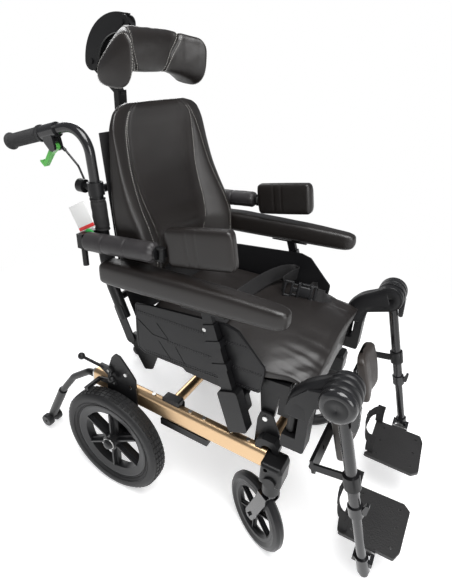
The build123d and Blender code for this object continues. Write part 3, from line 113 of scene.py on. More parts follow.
# Camera and see-through rays meet plain white; all others meet the sky.
world = bpy.data.worlds.new("studio")
bpy.context.scene.world = world
world.use_nodes = True
air = world.node_tree
sky = air.nodes["Background"]
sky.inputs["Color"].default_value = (0.93, 0.95, 1.0, 1)
sky.inputs["Strength"].default_value = 0.24
rays = add_node(air, "ShaderNodeLightPath")
either = add_node(air, "ShaderNodeMath")
either.operation = "MAXIMUM"
white = add_node(air, "ShaderNodeBackground", Color=(1, 1, 1, 1))
mix = add_node(air, "ShaderNodeMixShader")
wire(air, (rays.outputs["Is Camera Ray"], either.inputs[0]),
     (rays.outputs["Is Transmission Ray"], either.inputs[1]),
     (either.outputs[0], mix.inputs[0]), (sky.outputs[0], mix.inputs[1]),
     (white.outputs[0], mix.inputs[2]),
     (mix.outputs[0], air.nodes["World Output"].inputs["Surface"]))

# The floor's glow grows to plain white between two distances from the chair.
FLOOR_REACH, FLOOR_GLOW = 30.0, 0.42
GLOW_START, GLOW_FULL = 0.7, 1.7
floor_mesh = bpy.data.meshes.new("studio_floor")
floor_mesh.from_pydata([(x * FLOOR_REACH, y * FLOOR_REACH, 0)
                        for x, y in ((-1, -1), (1, -1), (1, 1), (-1, 1))], [], [(0, 1, 2, 3)])
studio_floor = placed("studio_floor", floor_mesh)
floor_finish = bpy.data.materials.new("studio_floor")
floor_finish.use_nodes = True
paper = floor_finish.node_tree
matt = paper.nodes["Principled BSDF"]
matt.inputs["Base Color"].default_value = (0.93, 0.93, 0.93, 1)
matt.inputs["Roughness"].default_value = 0.9
matt.inputs["Emission Color"].default_value = (1, 1, 1, 1)
matt.inputs["Emission Strength"].default_value = FLOOR_GLOW
where = add_node(paper, "ShaderNodeTexCoord")
distance = add_node(paper, "ShaderNodeVectorMath")
distance.operation = "LENGTH"
fade = add_node(paper, "ShaderNodeMapRange", From_Min=GLOW_START, From_Max=GLOW_FULL)
glow = add_node(paper, "ShaderNodeEmission")
blend = add_node(paper, "ShaderNodeMixShader")
wire(paper, (where.outputs["Object"], distance.inputs[0]),
     (distance.outputs["Value"], fade.inputs["Value"]), (fade.outputs[0], blend.inputs[0]),
     (matt.outputs[0], blend.inputs[1]), (glow.outputs[0], blend.inputs[2]),
     (blend.outputs[0], paper.nodes["Material Output"].inputs["Surface"]))
floor_mesh.materials.append(floor_finish)

# ------------ shared shapes
# What several pieces are made with: worked finishes, closed skins and cushions, turned
# rings, moulded blocks, hard parts kept from a CAD solid, and rows set along a curve.


def finish(name, colour, roughness, metallic=0.0, grain=60.0, depth=0.15, spread=0.12,
           stretch=(1, 1, 1), coat=0.0, mottle=9.0, shine=0.34):
    """A worked surface: colour that drifts a little, a fine grain, and uneven gloss."""
    material = bpy.data.materials.new(name)
    material.use_nodes = True
    tree = material.node_tree
    shader = tree.nodes["Principled BSDF"]
    for socket, value in (("Metallic", metallic), ("Coat Weight", coat),
                          ("Coat Roughness", 0.12), ("Specular IOR Level", shine)):
        shader.inputs[socket].default_value = value
    place = add_node(tree, "ShaderNodeTexCoord")
    mapping = add_node(tree, "ShaderNodeMapping", Scale=stretch)
    drift = add_node(tree, "ShaderNodeTexNoise", Scale=mottle, Detail=4)
    shade = add_node(tree, "ShaderNodeValToRGB")
    for stop, spot, share in zip(shade.color_ramp.elements, (0.3, 0.7), (1 - spread, 1 + spread)):
        stop.position = spot
        stop.color = (*[min(1, c * share) for c in colour], 1)
    gloss = add_node(tree, "ShaderNodeMapRange", To_Min=max(0.03, roughness - 0.07),
                     To_Max=min(1.0, roughness + 0.07))
    fine = add_node(tree, "ShaderNodeTexNoise", Scale=grain * 10, Detail=3)
    bump = add_node(tree, "ShaderNodeBump", Strength=depth, Distance=0.0006)
    wire(tree, (place.outputs["Object"], mapping.inputs["Vector"]),
         (mapping.outputs[0], drift.inputs["Vector"]), (mapping.outputs[0], fine.inputs["Vector"]),
         (drift.outputs["Fac"], shade.inputs["Fac"]),
         (shade.outputs["Color"], shader.inputs["Base Color"]),
         (drift.outputs["Fac"], gloss.inputs["Value"]),
         (gloss.outputs[0], shader.inputs["Roughness"]),
         (fine.outputs["Fac"], bump.inputs["Height"]),
         (bump.outputs["Normal"], shader.inputs["Normal"]))
    return material


def dress(material, *names):
    """Gives CAD nodes their finish; a name without a side stands for both sides."""
    for name in names:
        for node in (name, name + "_left", name + "_right"):
            if node in nodes:
                piece = nodes[node]
                if not piece.material_slots:
                    piece.data.materials.append(material)
                for holder in piece.material_slots:
                    holder.link = "DATA"
                    holder.material = material


def vinyl_finish(name, colour, roughness, pebble, depth):
    """Grained cover: pebbles from cells, a slow drift of shade, and worn gloss."""
    material = finish(name, colour, roughness, 0.0, 70, 0.2, 0.25, mottle=5.0, shine=0.55)
    tree = material.node_tree
    fine = tree.nodes["Bump"]
    cells = add_node(tree, "ShaderNodeTexVoronoi", Scale=pebble)
    grain = add_node(tree, "ShaderNodeBump", Strength=depth, Distance=0.0005)
    wire(tree, (tree.nodes["Texture Coordinate"].outputs["Object"], cells.inputs["Vector"]),
         (cells.outputs["Distance"], grain.inputs["Height"]),
         (fine.outputs["Normal"], grain.inputs["Normal"]),
         (grain.outputs["Normal"], tree.nodes["Principled BSDF"].inputs["Normal"]))
    return material


def tangent(slopes, n):
    """The slope at station n: none where the run turns, else the neighbours' mean."""
    if n in (0, len(slopes)):
        return slopes[min(n, len(slopes) - 1)]
    before, after = slopes[n - 1], slopes[n]
    return 0.0 if before * after <= 0 else 2 * before * after / (before + after)


def eased(stations, t):
    """Smooth values between stations of (t, value, value, ...), with no overshoot."""
    i = next((n for n, spot in enumerate(stations[1:]) if t <= spot[0]), len(stations) - 2)
    low, high = stations[i], stations[i + 1]
    width = high[0] - low[0]
    k = min(1.0, max(0.0, (t - low[0]) / width))
    values = []
    for column in range(1, len(low)):
        slopes = [(b[column] - a[column]) / (b[0] - a[0]) for a, b in zip(stations, stations[1:])]
        values.append((1 + 2 * k) * (1 - k) ** 2 * low[column] + k * k * (3 - 2 * k) * high[column]
                      + k * (1 - k) ** 2 * width * tangent(slopes, i)
                      - k * k * (1 - k) * width * tangent(slopes, i + 1))
    return values


def bulge(angle, power):
    """Rounded-box point (across, out), each -1 to 1; power 2 is round, more is boxier."""
    c, s = cos(angle), sin(angle)
    return (copysign(abs(c) ** (2 / power), c), copysign(abs(s) ** (2 / power), s))


def around(count, power):
    """Rounded-box points at even angles."""
    return [bulge(2 * pi * i / count, power) for i in range(count)]


def ripple(x, y, z):
    """Smooth noise at a place, from -1 to 1."""
    return noise.noise(Vector((x, y, z)))


def cushion_rings(stations, rows, columns, power, place):
    """Rings of place(along, across, out, ...) from stations of
    (share, along, half width, rear, front)."""
    rings = []
    for row in range(rows + 1):
        t = row / rows
        along, half, rear, front = eased(stations, t)
        rings.append([place(along, u * half, rear + (front - rear) * (v + 1) / 2, u, v, t)
                      for u, v in around(columns, power)])
    return rings


def mesh_piece(name, shape, material, smooth=None):
    """The worked shape as an object in one material."""
    if smooth is not None:
        for face in shape.faces:
            face.smooth = smooth
    mesh = bpy.data.meshes.new(name)
    shape.to_mesh(mesh)
    shape.free()
    mesh.materials.append(material)
    return placed(name, mesh)


def joined(shape, low, high):
    """Quads between two closed rings of vertices."""
    for i in range(len(low)):
        j = (i + 1) % len(low)
        shape.faces.new((low[i], low[j], high[j], high[i]))


def skin(name, rings, material):
    """A closed skin over rings of points, with flat fans over its two ends."""
    shape = bmesh.new()
    rows = [[shape.verts.new(point) for point in ring] for ring in rings]
    for low, high in zip(rows, rows[1:]):
        joined(shape, low, high)
    for ring in (rows[0], rows[-1]):
        centre = shape.verts.new(sum((v.co for v in ring), Vector()) / len(ring))
        for i, vert in enumerate(ring):
            shape.faces.new((vert, ring[(i + 1) % len(ring)], centre))
    bmesh.ops.recalc_face_normals(shape, faces=shape.faces)
    return mesh_piece(name, shape, material, True)


def mirrored(section, side):
    """A section (x, radius) given for the left side (1), for either side."""
    return [(side * x, radius) for x, radius in section]


def turned(name, section, turns, centre, axle, material, smooth=True):
    """A ring turned about an axle from (along the axle, radius) points in millimetres."""
    axle = axle.normalized()
    first = (UP - axle * UP.dot(axle)).normalized()
    second = axle.cross(first)
    shape = bmesh.new()
    rows = []
    for turn in range(turns):
        a = 2 * pi * turn / turns
        out = first * cos(a) + second * sin(a)
        rows.append([shape.verts.new(centre + (axle * x + out * r) / 1000) for x, r in section])
    for turn in range(turns):
        joined(shape, rows[turn], rows[(turn + 1) % turns])
    bmesh.ops.recalc_face_normals(shape, faces=shape.faces)
    return mesh_piece(name, shape, material, smooth)


def local_frame(origin, run, over):
    """A frame at an origin: x along the run, y as near to over as it can be."""
    run = Vector(run).normalized()
    over = Vector(over)
    over = (over - run * over.dot(run)).normalized()
    return Matrix.Translation(origin) @ Matrix((run, over, run.cross(over))).transposed().to_4x4()


def block_set(name, parts, frame_at, material, body):
    """Bevelled blocks (middle, size) in a local frame, as one moulded piece."""
    shape = bmesh.new()
    for middle, size in parts:
        made = bmesh.ops.create_cube(shape, size=1)["verts"]
        for vert in made:
            vert.co = Vector([m + c * s for m, c, s in zip(middle, vert.co, size)])
        edges = list({edge for vert in made for edge in vert.link_edges})
        bmesh.ops.bevel(shape, geom=edges, offset=min(size) * 0.28, segments=3, affect="EDGES",
                        profile=0.5)
    for vert in shape.verts:
        vert.co = at(*(frame_at @ vert.co))
    piece = mesh_piece(name, shape, material, True)
    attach(piece, body)
    return piece


def rigid_copy(name, node, wanted, material, body):
    """The hard islands of a CAD node whose soft island is modelled anew."""
    shape = bmesh.new()
    shape.from_mesh(nodes[node].data)
    bmesh.ops.remove_doubles(shape, verts=shape.verts, dist=1e-6)
    left = set(shape.verts)
    while left:
        island, edge = set(), [left.pop()]
        while edge:
            vert = edge.pop()
            island.add(vert)
            for link in vert.link_edges:
                other = link.other_vert(vert)
                if other in left:
                    left.discard(other)
                    edge.append(other)
        low = Vector([min(v.co[i] for v in island) for i in range(3)])
        high = Vector([max(v.co[i] for v in island) for i in range(3)])
        if not wanted(low, high):
            bmesh.ops.delete(shape, geom=list(island), context="VERTS")
            left = set(v for v in left if v.is_valid)
    piece = mesh_piece(name, shape, material)
    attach(piece, body)
    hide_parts(node)


def settled(name, source):
    """The evaluated shape as a plain mesh object; its source is dropped."""
    bpy.context.view_layer.update()
    graph = bpy.context.evaluated_depsgraph_get()
    mesh = bpy.data.meshes.new_from_object(source.evaluated_get(graph))
    mesh.name = name
    bpy.data.objects.remove(source)
    return placed(name, mesh)


def seam_curve(name, lines):
    """One curve object through each line of points."""
    path = bpy.data.curves.new(name, "CURVE")
    path.dimensions = "3D"
    for line in lines:
        spline = path.splines.new("POLY")
        spline.points.add(len(line) - 1)
        for spot, point in zip(spline.points, line):
            spot.co = (*point, 1)
    return placed(name, path)


def row_tree(name, brick_type, mode, spacing_type, size_type, material):
    """Nodes that set one brick at each step along a curve, spaced by the mode's own input
    (Length or Count); the brick's size is left to be wired."""
    tree = bpy.data.node_groups.new(name, "GeometryNodeTree")
    socket = tree.interface.new_socket
    socket("Path", in_out="INPUT", socket_type="NodeSocketGeometry")
    spacing = socket("Spacing", in_out="INPUT", socket_type=spacing_type)
    size = socket("Size", in_out="INPUT", socket_type=size_type)
    socket("Row", in_out="OUTPUT", socket_type="NodeSocketGeometry")
    start, points, brick, place, real, paint, end = [tree.nodes.new(kind) for kind in (
        "NodeGroupInput", "GeometryNodeCurveToPoints", brick_type,
        "GeometryNodeInstanceOnPoints", "GeometryNodeRealizeInstances",
        "GeometryNodeSetMaterial", "NodeGroupOutput")]
    points.mode = mode
    paint.inputs["Material"].default_value = material
    wire(tree, (start.outputs["Path"], points.inputs["Curve"]),
         (start.outputs["Spacing"], points.inputs[mode.title()]),
         (points.outputs["Points"], place.inputs["Points"]),
         (points.outputs["Rotation"], place.inputs["Rotation"]),
         (brick.outputs["Mesh"], place.inputs["Instance"]),
         (place.outputs["Instances"], real.inputs["Geometry"]),
         (real.outputs["Geometry"], paint.inputs["Geometry"]),
         (paint.outputs["Geometry"], end.inputs["Row"]))
    return tree, start, brick, (tree, spacing.identifier, size.identifier)


def row_along(name, path, row, spacing, size):
    """A row set along a curve object, as a plain mesh."""
    tree, spacing_socket, size_socket = row
    layer = path.modifiers.new(name, "NODES")
    layer.node_group = tree
    layer[spacing_socket] = spacing
    layer[size_socket] = size
    return settled(name, path)


# ------------ base frame
# Champagne anodised aluminium side and cross tubes, with black powder-coated steel
# plates, housings and brackets bolted on and zinc-plated screws.
champagne = finish("champagne_anodised", (0.60, 0.42, 0.25), 0.34, 1.0, 40, 0.08, 0.05,
                   (1, 0.06, 1))
black_coat = finish("black_powder_coat", (0.0055, 0.0055, 0.006), 0.38, 0.0, 90, 0.25, 0.2)
zinc = finish("zinc_plate", (0.58, 0.58, 0.57), 0.3, 1.0, 60, 0.1, 0.08)
dress(champagne, "side_tubes", "cross_tubes")
dress(black_coat, "axle_plates", "caster_housings", "frame_brackets", "seat_frame",
      "back_frame", "armrest_post", "armrest_supports", "headrest_post", "headrest_link",
      "anti_tipper", "tilt_cylinder", "brake_lever", "brake_shoe")
dress(zinc, "frame_hardware", "tilt_rod")

# ------------ wheels
# Pneumatic rear tyres with four rows of small tread blocks on moulded six-spoke rims,
# and solid casters in bent gloss black forks.
tyre_rubber = finish("tyre_rubber", (0.012, 0.012, 0.0125), 0.55, 0.0, 110, 0.3, 0.2)
moulded_black = finish("moulded_black", (0.012, 0.012, 0.013), 0.36, 0.0, 60, 0.15, 0.2)
gloss_black = finish("gloss_black", (0.006, 0.006, 0.007), 0.2, 0.0, 40, 0.05, 0.2, coat=0.5)
dress(moulded_black, "rear_rim", "caster_wheel", "anti_tip_wheels")
dress(gloss_black, "caster_fork")
# Outlines are (along the axle, radius); a bead is (radius, half width, foot, crest).
TYRE_HALF = [(17, 121.2), (21.5, 127), (24.6, 135), (24.9, 142), (23, 148.5), (19, 152.6),
             (12, 155.0), (4, 155.8)]
TYRE_SECTION = TYRE_HALF + [(-x, radius) for x, radius in reversed(TYRE_HALF)]
TREAD_ROWS = ((-13, 154.8), (-4.6, 155.9), (4.6, 155.9), (13, 154.8))
TREAD_BLOCK, TREAD_BLOCKS, TREAD_POINTS = [0.0068, 0.0030, 0.0120], 60, 96
BEADS = ((118, 1.6, 17.4, 18.4), (129, 1.2, 24.2, 25.0))
HUB_SECTION = [(24, 17.6), (27, 17.2), (27.6, 15.6), (26, 15.2)]
WHEEL_X, WHEEL_RADIUS = 272, 157.5
tread_nodes, tread_start, tread_brick, tread = row_tree(
    "tread", "GeometryNodeMeshCube", "COUNT", "NodeSocketInt", "NodeSocketVector", tyre_rubber)
tread_nodes.links.new(tread_start.outputs["Size"], tread_brick.inputs["Size"])


def tread_row(name, centre, radius):
    """One row of blocks round the tyre at a radius."""
    turns = [2 * pi * i / TREAD_POINTS for i in range(TREAD_POINTS)]
    ring = seam_curve(name, [[(centre.x, centre.y + radius / 1000 * sin(a),
                               centre.z + radius / 1000 * cos(a)) for a in turns]])
    ring.data.twist_mode = "Z_UP"
    ring.data.splines[0].use_cyclic_u = True
    return row_along(name, ring, tread, TREAD_BLOCKS, TREAD_BLOCK)


for side, word in SIDES:
    hub = at(side * WHEEL_X, 0, WHEEL_RADIUS)
    tyre = turned(f"tyre_{word}", TYRE_SECTION, 120, hub, SIDEWAYS, tyre_rubber)
    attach(tyre, f"rear_wheel_{word}")
    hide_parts(f"rear_tyre_{word}")
    for row, (shift, radius) in enumerate(TREAD_ROWS):
        blocks = tread_row(f"tread_{word}_{row}", hub + Vector((shift / 1000, 0, 0)), radius)
        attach(blocks, f"rear_wheel_{word}")
    for radius, width, inner, outer in BEADS:
        section = [(inner, radius + width), (outer, radius), (inner, radius - width)]
        bead = turned(f"tyre_bead_{word}_{radius}", mirrored(section, side), 96, hub, SIDEWAYS,
                      tyre_rubber)
        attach(bead, f"rear_wheel_{word}")
    ring = turned(f"hub_ring_{word}", mirrored(HUB_SECTION, side), 48, hub, SIDEWAYS, zinc)
    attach(ring, f"rear_wheel_{word}")

# ------------ seat cushion
# Foam under a grained black cover that is pulled over the front edge and hangs down
# as an apron; it gathers in shallow folds along the front.
cover = vinyl_finish("seat_cover", (0.0125, 0.0102, 0.0093), 0.42, 900, 0.25)


def seat_point(y, x, z, u, v, t):
    """Crowned top with shallow folds that run forward, pressed in under the belt."""
    top = max(0.0, v)
    crown = 37 * (1 - u * u) * top
    fold = 2.2 * (ripple(x / 46, y / 120, 3.1) - 0.6) * top
    pull = min(1.0, max(0.0, (-y - 360) / 90))
    gather = 4.5 * (ripple(x / 17, y / 150, 9.4) - 0.45) * pull * top
    press = -2.0 * exp(-((y + 292) / 24) ** 2) * top
    slant = 5.5 * ripple((x + 0.9 * y) / 34, 4.2, 1.0) * pull * abs(u) * top
    crease = 3.4 * ripple(x / 30, z / 90, 7.7) * min(1.0, max(0.0, (-y - 420) / 50))
    return at(x, y - crease, z + crown + fold + gather + slant + press)


# (share of the length, y, half width, underside, top)
SEAT_STATIONS = [(0.0, -46, 190, 484, 500), (0.035, -50, 204, 478, 512), (0.1, -66, 211, 476, 519),
                 (0.35, -180, 211, 479, 522), (0.7, -372, 211, 487, 522),
                 (0.84, -440, 196, 491, 517), (0.93, -474, 193, 494, 510),
                 (0.98, -488, 190, 498, 504), (1.0, -492, 184, 500, 503)]
seat_skin = skin("seat_cover", cushion_rings(SEAT_STATIONS, 110, 180, 5.0, seat_point), cover)
APRON_TOP, APRON_FOOT, APRON_ROWS, APRON_COLUMNS = 506, 394, 40, 160


def apron_ring(t):
    """One level of the hanging front: a thin closed strip that waves more lower down."""
    z = APRON_TOP + (APRON_FOOT - APRON_TOP) * t
    ring = []
    for u, v in around(APRON_COLUMNS, 9):
        x = u * (192 - 4 * t)
        wave = 5.0 * t * ripple(x / 38, z / 160, 1.3)
        round_off = 14 * abs(u) ** 8 * (1 - t)
        y = -482 + 8 * t - (3.2 * v) - wave + round_off
        ring.append(at(x, y, z))
    return ring


apron = skin("seat_apron", [apron_ring(row / APRON_ROWS) for row in range(APRON_ROWS + 1)], cover)
for soft in (seat_skin, apron):
    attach(soft, "seat")
    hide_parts("seat_cushion")

# ------------ back cushion
# A contoured foam back in vinyl: wings stand forward at the ribs and run out at the
# shoulders.  A crest seam and an inner seam run up each side of its face.
BACK_POWER = 5.5
vinyl = vinyl_finish("black_vinyl", (0.0085, 0.0066, 0.0058), 0.36, 800, 0.3)
# (share of the height, height, half width, rear, front)
BACK_STATIONS = [(0.0, 576, 150, 16, -10), (0.03, 580, 184, 10, -66), (0.10, 612, 203, 11, -99),
                 (0.28, 694, 203, 21, -96), (0.40, 745, 201, 27, -76), (0.50, 790, 197, 30, -50),
                 (0.62, 842, 190, 31, -24), (0.74, 893, 184, 31, -6), (0.86, 942, 178, 31, 8),
                 (0.95, 976, 162, 32, 17), (0.985, 990, 142, 34, 22), (1.0, 997, 112, 36, 29)]
# (share of the height, crest seam, inner seam), the seams as shares of the half width
SEAM_LINES = [(0.0, 0.86, 0.44), (0.28, 0.86, 0.53), (0.5, 0.85, 0.62), (0.75, 0.82, 0.70),
              (0.92, 0.76, 0.72), (1.0, 0.70, 0.66)]


def hollow(u, t):
    """How far the middle of the back lies behind the wings."""
    crest, inner = eased(SEAM_LINES, t)
    flat = inner - 0.12
    side = min(1.0, max(0.0, (abs(u) - flat) / (crest - flat + 0.04)))
    side = side * side * (3 - 2 * side)
    return (1 - side) * (74 * (1 - t) ** 0.9 + 5)


def back_point(z, x, y, u, v, t):
    """The face set back by the hollow and drawn in along each seam."""
    front = max(0.0, v)
    crest, inner = eased(SEAM_LINES, t)
    set_back = hollow(u, t) * front
    for line, deep in ((crest, 1.8), (inner, 2.4)):
        seam = abs(abs(u) - line) * 190
        set_back += deep * exp(-(seam / 4.0) ** 2) * front
    pull = 1.4 * ripple(x / 70, z / 60, 2.2) * front
    return at(x, y + min(set_back, 96) + pull, z)


back_skin = skin("back_cover", cushion_rings(BACK_STATIONS, 150, 200, BACK_POWER, back_point),
                 vinyl)
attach(back_skin, "back")
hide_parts("back_cushion")

# ------------ stitches
# Thread laid along the seams: each stitch is a short round bar that follows its seam.
# The back, the headrest, the arm pads and the sleeves are sewn with it.
STITCH_PITCH, STITCH_RADIUS, STITCH_SHARE = 0.0052, 0.00036, 0.62
thread = finish("grey_thread", (0.52, 0.50, 0.47), 0.6, 0.0, 200, 0.3, 0.1)
black_thread = finish("black_thread", (0.10, 0.10, 0.10), 0.6, 0.0, 200, 0.3, 0.1)


def stitch_row(material):
    """Six-sided stitches, each STITCH_SHARE of the pitch long."""
    tree, start, stitch, row = row_tree("stitches", "GeometryNodeMeshCylinder", "LENGTH",
                                        "NodeSocketFloat", "NodeSocketFloat", material)
    stitch.inputs["Vertices"].default_value = 6
    share = tree.nodes.new("ShaderNodeMath")
    share.operation = "MULTIPLY"
    share.inputs[1].default_value = STITCH_SHARE
    wire(tree, (start.outputs["Spacing"], share.inputs[0]),
         (share.outputs[0], stitch.inputs["Depth"]),
         (start.outputs["Size"], stitch.inputs["Radius"]))
    return row


grey_stitches = stitch_row(thread)
black_stitches = stitch_row(black_thread)


def sew(name, lines, body, row):
    """Stitches along each line, riding with a body."""
    piece = row_along(name, seam_curve(name, lines), row, STITCH_PITCH, STITCH_RADIUS)
    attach(piece, body)


def back_line(which, side):
    """The crest seam (0) or the inner seam (1) up one side of the back's face."""
    line = []
    for step in range(200):
        t = 0.05 + 0.91 * step / 199
        z, half, rear, front = eased(BACK_STATIONS, t)
        u = side * eased(SEAM_LINES, t)[which]
        v = (1 - abs(u) ** BACK_POWER) ** (1 / BACK_POWER)
        point = back_point(z, u * half, rear + (front - rear) * (v + 1) / 2, u, v, t)
        line.append(point + Vector((0, -0.0007, 0)))
    return line


sew("back_stitches", [back_line(which, side) for side in (-1, 1) for which in (0, 1)],
    "back", grey_stitches)

# ------------ headrest
# One stuffed roll in three panels: the middle one is flat behind, the wings come forward
# and droop, and each leaning seam between them is drawn in and stitched in grey.

# (distance from the middle, front, rear, ridge, low, top, flatness behind)
HEAD_STATIONS = [(0, 37, 76.7, 58, 1054, 1149, 1), (62, 37, 76.7, 58, 1054, 1149, 1),
                 (98, 18, 79.7, 38, 1046, 1144, 0), (125, -6, 82.7, 18, 1034, 1139, 0),
                 (144, -21, 81.7, 3, 1024, 1130, 0), (151, -12, 69.7, 12, 1034, 1112, 0)]


def head_seam(z):
    """How far from the middle the leaning seam runs at a height."""
    return 50 + 48 * (z - 1054) / 95


def head_ring(x, scale=1.0):
    """The roll's outline (y, z) at one x, from the ridge over the front and round."""
    front, rear, ridge, low, top, flat = eased(HEAD_STATIONS, min(151, abs(x)))
    tall, deep = top - low, rear - front
    middle = rear - 0.05 * deep * (1 - flat)
    upper = flat * rear + (1 - flat) * (ridge + 0.45 * (rear - ridge))
    points = [(ridge, top), (front + 0.15 * (ridge - front), top - 0.12 * tall),
              (front, top - 0.35 * tall), (front + 2, low + 0.38 * tall),
              (front + 0.12 * deep, low + 0.12 * tall), (front + 0.35 * deep, low),
              (rear - 0.15 * deep, low + 0.03 * tall), (rear, low + 0.17 * tall),
              (middle, low + 0.42 * tall), (upper, low + 0.8 * tall)]
    for _ in range(3):
        points = [(a[0] * (1 - k) + b[0] * k, a[1] * (1 - k) + b[1] * k)
                  for a, b in zip(points, points[1:] + points[:1]) for k in (0.25, 0.75)]
    cy, cz = (front + rear) / 2, (low + top) / 2
    ring = []
    for y, z in points:
        gap = (abs(x) - head_seam(z)) * 0.89
        drawn = 4.0 * exp(-(gap / 3.6) ** 2)
        wrinkle = 1.0 * ripple(x / 26, y / 22, z / 26)
        reach = hypot(y - cy, z - cz)
        k = scale * (1 - (drawn + wrinkle + 0.6) / max(20, reach))
        ring.append((cy + (y - cy) * k, cz + (z - cz) * k))
    return ring


def head_scale(x):
    """How much of the outline is left at one x: the two ends round off."""
    over = max(0.0, (abs(x) - 134) / 17.5)
    return max(0.002, 1 - over ** 2.6) ** (1 / 2.6)


HEAD_ROWS = [151.45 * sin(pi / 2 * i / 130) for i in range(-130, 131)]
head_cover = skin("headrest_cover", [[at(x, y, z) for y, z in head_ring(x, head_scale(x))]
                                     for x in HEAD_ROWS], vinyl)


def head_line(side, offset):
    """A stitch line beside the leaning seam, from behind the ridge round to the bottom."""
    line = []
    for k in list(range(72, 80)) + list(range(0, 48)):
        x = 74.0
        for _ in range(8):
            x = 0.5 * x + 0.5 * (head_seam(head_ring(x)[k][1]) + offset)
        y, z = head_ring(x, 1.012)[k]
        line.append(at(side * x, y, z))
    return line


sew("headrest_stitches", [head_line(side, offset) for side in (-1, 1) for offset in (-5.5, 5.5)]
    + [[at(side * 141, y, z) for y, z in head_ring(141, head_scale(141) * 1.012)]
       for side in (-1, 1)],
    "headrest_cushion", grey_stitches)

rigid_copy("headrest_bracket", "headrest_cushion",
           lambda low, high: high.x - low.x < 0.07 and high.y > at(0, 90, 0).y, black_coat,
           "headrest_cushion")
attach(head_cover, "headrest_cushion")
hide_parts("headrest_cushion")

# ------------ arm pads
# Long foam pads, widest behind the middle, with rounded ends and a row of black
# stitches low on each side.  Stations: (share, along, half width, underside, top).
ARM_X, ARM_REAR, ARM_BASE, ARM_LENGTH = 236, 20, 624.5, 461
ARM_RISE = (651 - 630) / ARM_LENGTH
ARM_POWER, ARM_SEAMS = 3.6, (208, -28)
ARM_STATIONS = [(0.0, 0, 3, 22, 32), (0.02, 2, 13, 13, 42), (0.06, 8, 21, 6, 50),
                (0.1, 18, 27, 2, 55), (0.3, 110, 29.5, 0, 59), (0.6, 300, 26, 0, 55),
                (0.8, 408, 22.5, 0, 49), (0.88, 434, 21.5, 1, 47), (0.93, 449, 18, 4, 44),
                (0.97, 457, 12.5, 9, 39), (1.0, 461, 2, 19, 28)]


def arm_point(side):
    """Places the pad's points: it rises forward and sags a little here and there."""
    def place(along, across, out, u, v, t):
        sag = 0.8 * ripple(along / 50, across / 20, 5.0 + side)
        return at(side * (ARM_X + across), ARM_REAR - along,
                  ARM_BASE + along * ARM_RISE + out + sag * max(0.0, v))
    return place


def arm_line(side, angle):
    """A seam along one side of the pad, at an angle round its section."""
    line = []
    for step in range(200):
        t = 0.05 + 0.89 * step / 199
        along, half, rear, front = eased(ARM_STATIONS, t)
        u, v = bulge(radians(angle), ARM_POWER)
        line.append(arm_point(side)(along, u * (half + 0.5),
                                    rear + (front - rear) * (v + 1) / 2, u, v, t))
    return line


for side, word in SIDES:
    rings = cushion_rings(ARM_STATIONS, 110, 64, ARM_POWER, arm_point(side))
    pad = skin(f"arm_pad_{word}", rings, vinyl)
    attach(pad, f"armrest_{word}")
    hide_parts(f"armrest_pad_{word}")
    sew(f"arm_pad_stitches_{word}", [arm_line(side, angle) for angle in ARM_SEAMS],
        f"armrest_{word}", black_stitches)

# ------------ trunk supports
# Quilted sleeves over the swing arms, each closed by an oval button, and a firm pad
# on a vertical hinge at its front.
ROLL_REAR, ROLL_FRONT = (60.0, 713.0), (-138.0, 732.0)
ROLL_X, ROLL_RADIUS, ROLL_GROOVES = 238.5, 22.6, (0.30, 0.62)


def roll_rings(side):
    """Rings of the sleeve from its rear end to its puckered front."""
    run = Vector((0, ROLL_FRONT[0] - ROLL_REAR[0], ROLL_FRONT[1] - ROLL_REAR[1]))
    length = run.length
    run.normalize()
    rise = Vector((0, -run.z, run.y))
    rings = []
    for row in range(91):
        t = row / 90
        radius = ROLL_RADIUS * sqrt(sin(min(1.0, t * 22 + 0.02) * pi / 2))
        if t > 0.93:
            radius *= sqrt(max(0.02, 1 - ((t - 0.93) / 0.075) ** 2))
        groove = 1.6 * sum(exp(-((t - spot) / 0.012) ** 2) for spot in ROLL_GROOVES)
        ring = []
        for column in range(60):
            a = 2 * pi * column / 60
            pucker = 1.0 * sin(9 * a) * max(0.0, (t - 0.86) / 0.14)
            seam = 1.5 * exp(-((degrees(a) - 150) / 5) ** 2)
            lump = 0.8 * ripple(t * 9, cos(a), sin(a))
            r = radius - groove - pucker - seam + lump - 0.6
            ring.append(at(side * ROLL_X + side * r * cos(a),
                           ROLL_REAR[0] + run.y * length * t + rise.y * r * sin(a),
                           ROLL_REAR[1] + run.z * length * t + rise.z * r * sin(a)))
        rings.append(ring)
    return rings


sleeve_cloth = vinyl_finish("sleeve_cloth", (0.022, 0.020, 0.021), 0.5, 600, 0.4)
for side, word in SIDES:
    rows = roll_rings(side)
    roll = skin(f"sleeve_roll_{word}", rows, sleeve_cloth)
    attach(roll, "back")
    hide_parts("trunk_arms")
    sew(f"sleeve_stitches_{word}", [[rows[row][column] for row in range(6, 84)]
                                    for column in (9, 16, 27)], "back", black_stitches)
rigid_copy("sleeve_buttons", "trunk_arms",
           lambda low, high: high.y - low.y < 0.06, black_coat, "back")

TRUNK_STATIONS = [(0.0, -80, 26, -3, 10), (0.03, -77, 36, -7, 17), (0.1, -68, 41.5, -9, 23),
                  (0.5, 0, 42, -9, 24), (0.9, 68, 41.5, -8, 23), (0.97, 77, 36, -5, 17),
                  (1.0, 80, 26, -2, 10)]
TRUNK_X, TRUNK_Y, TRUNK_Z, TRUNK_LEAN = 224.6, -232, 757, radians(10)


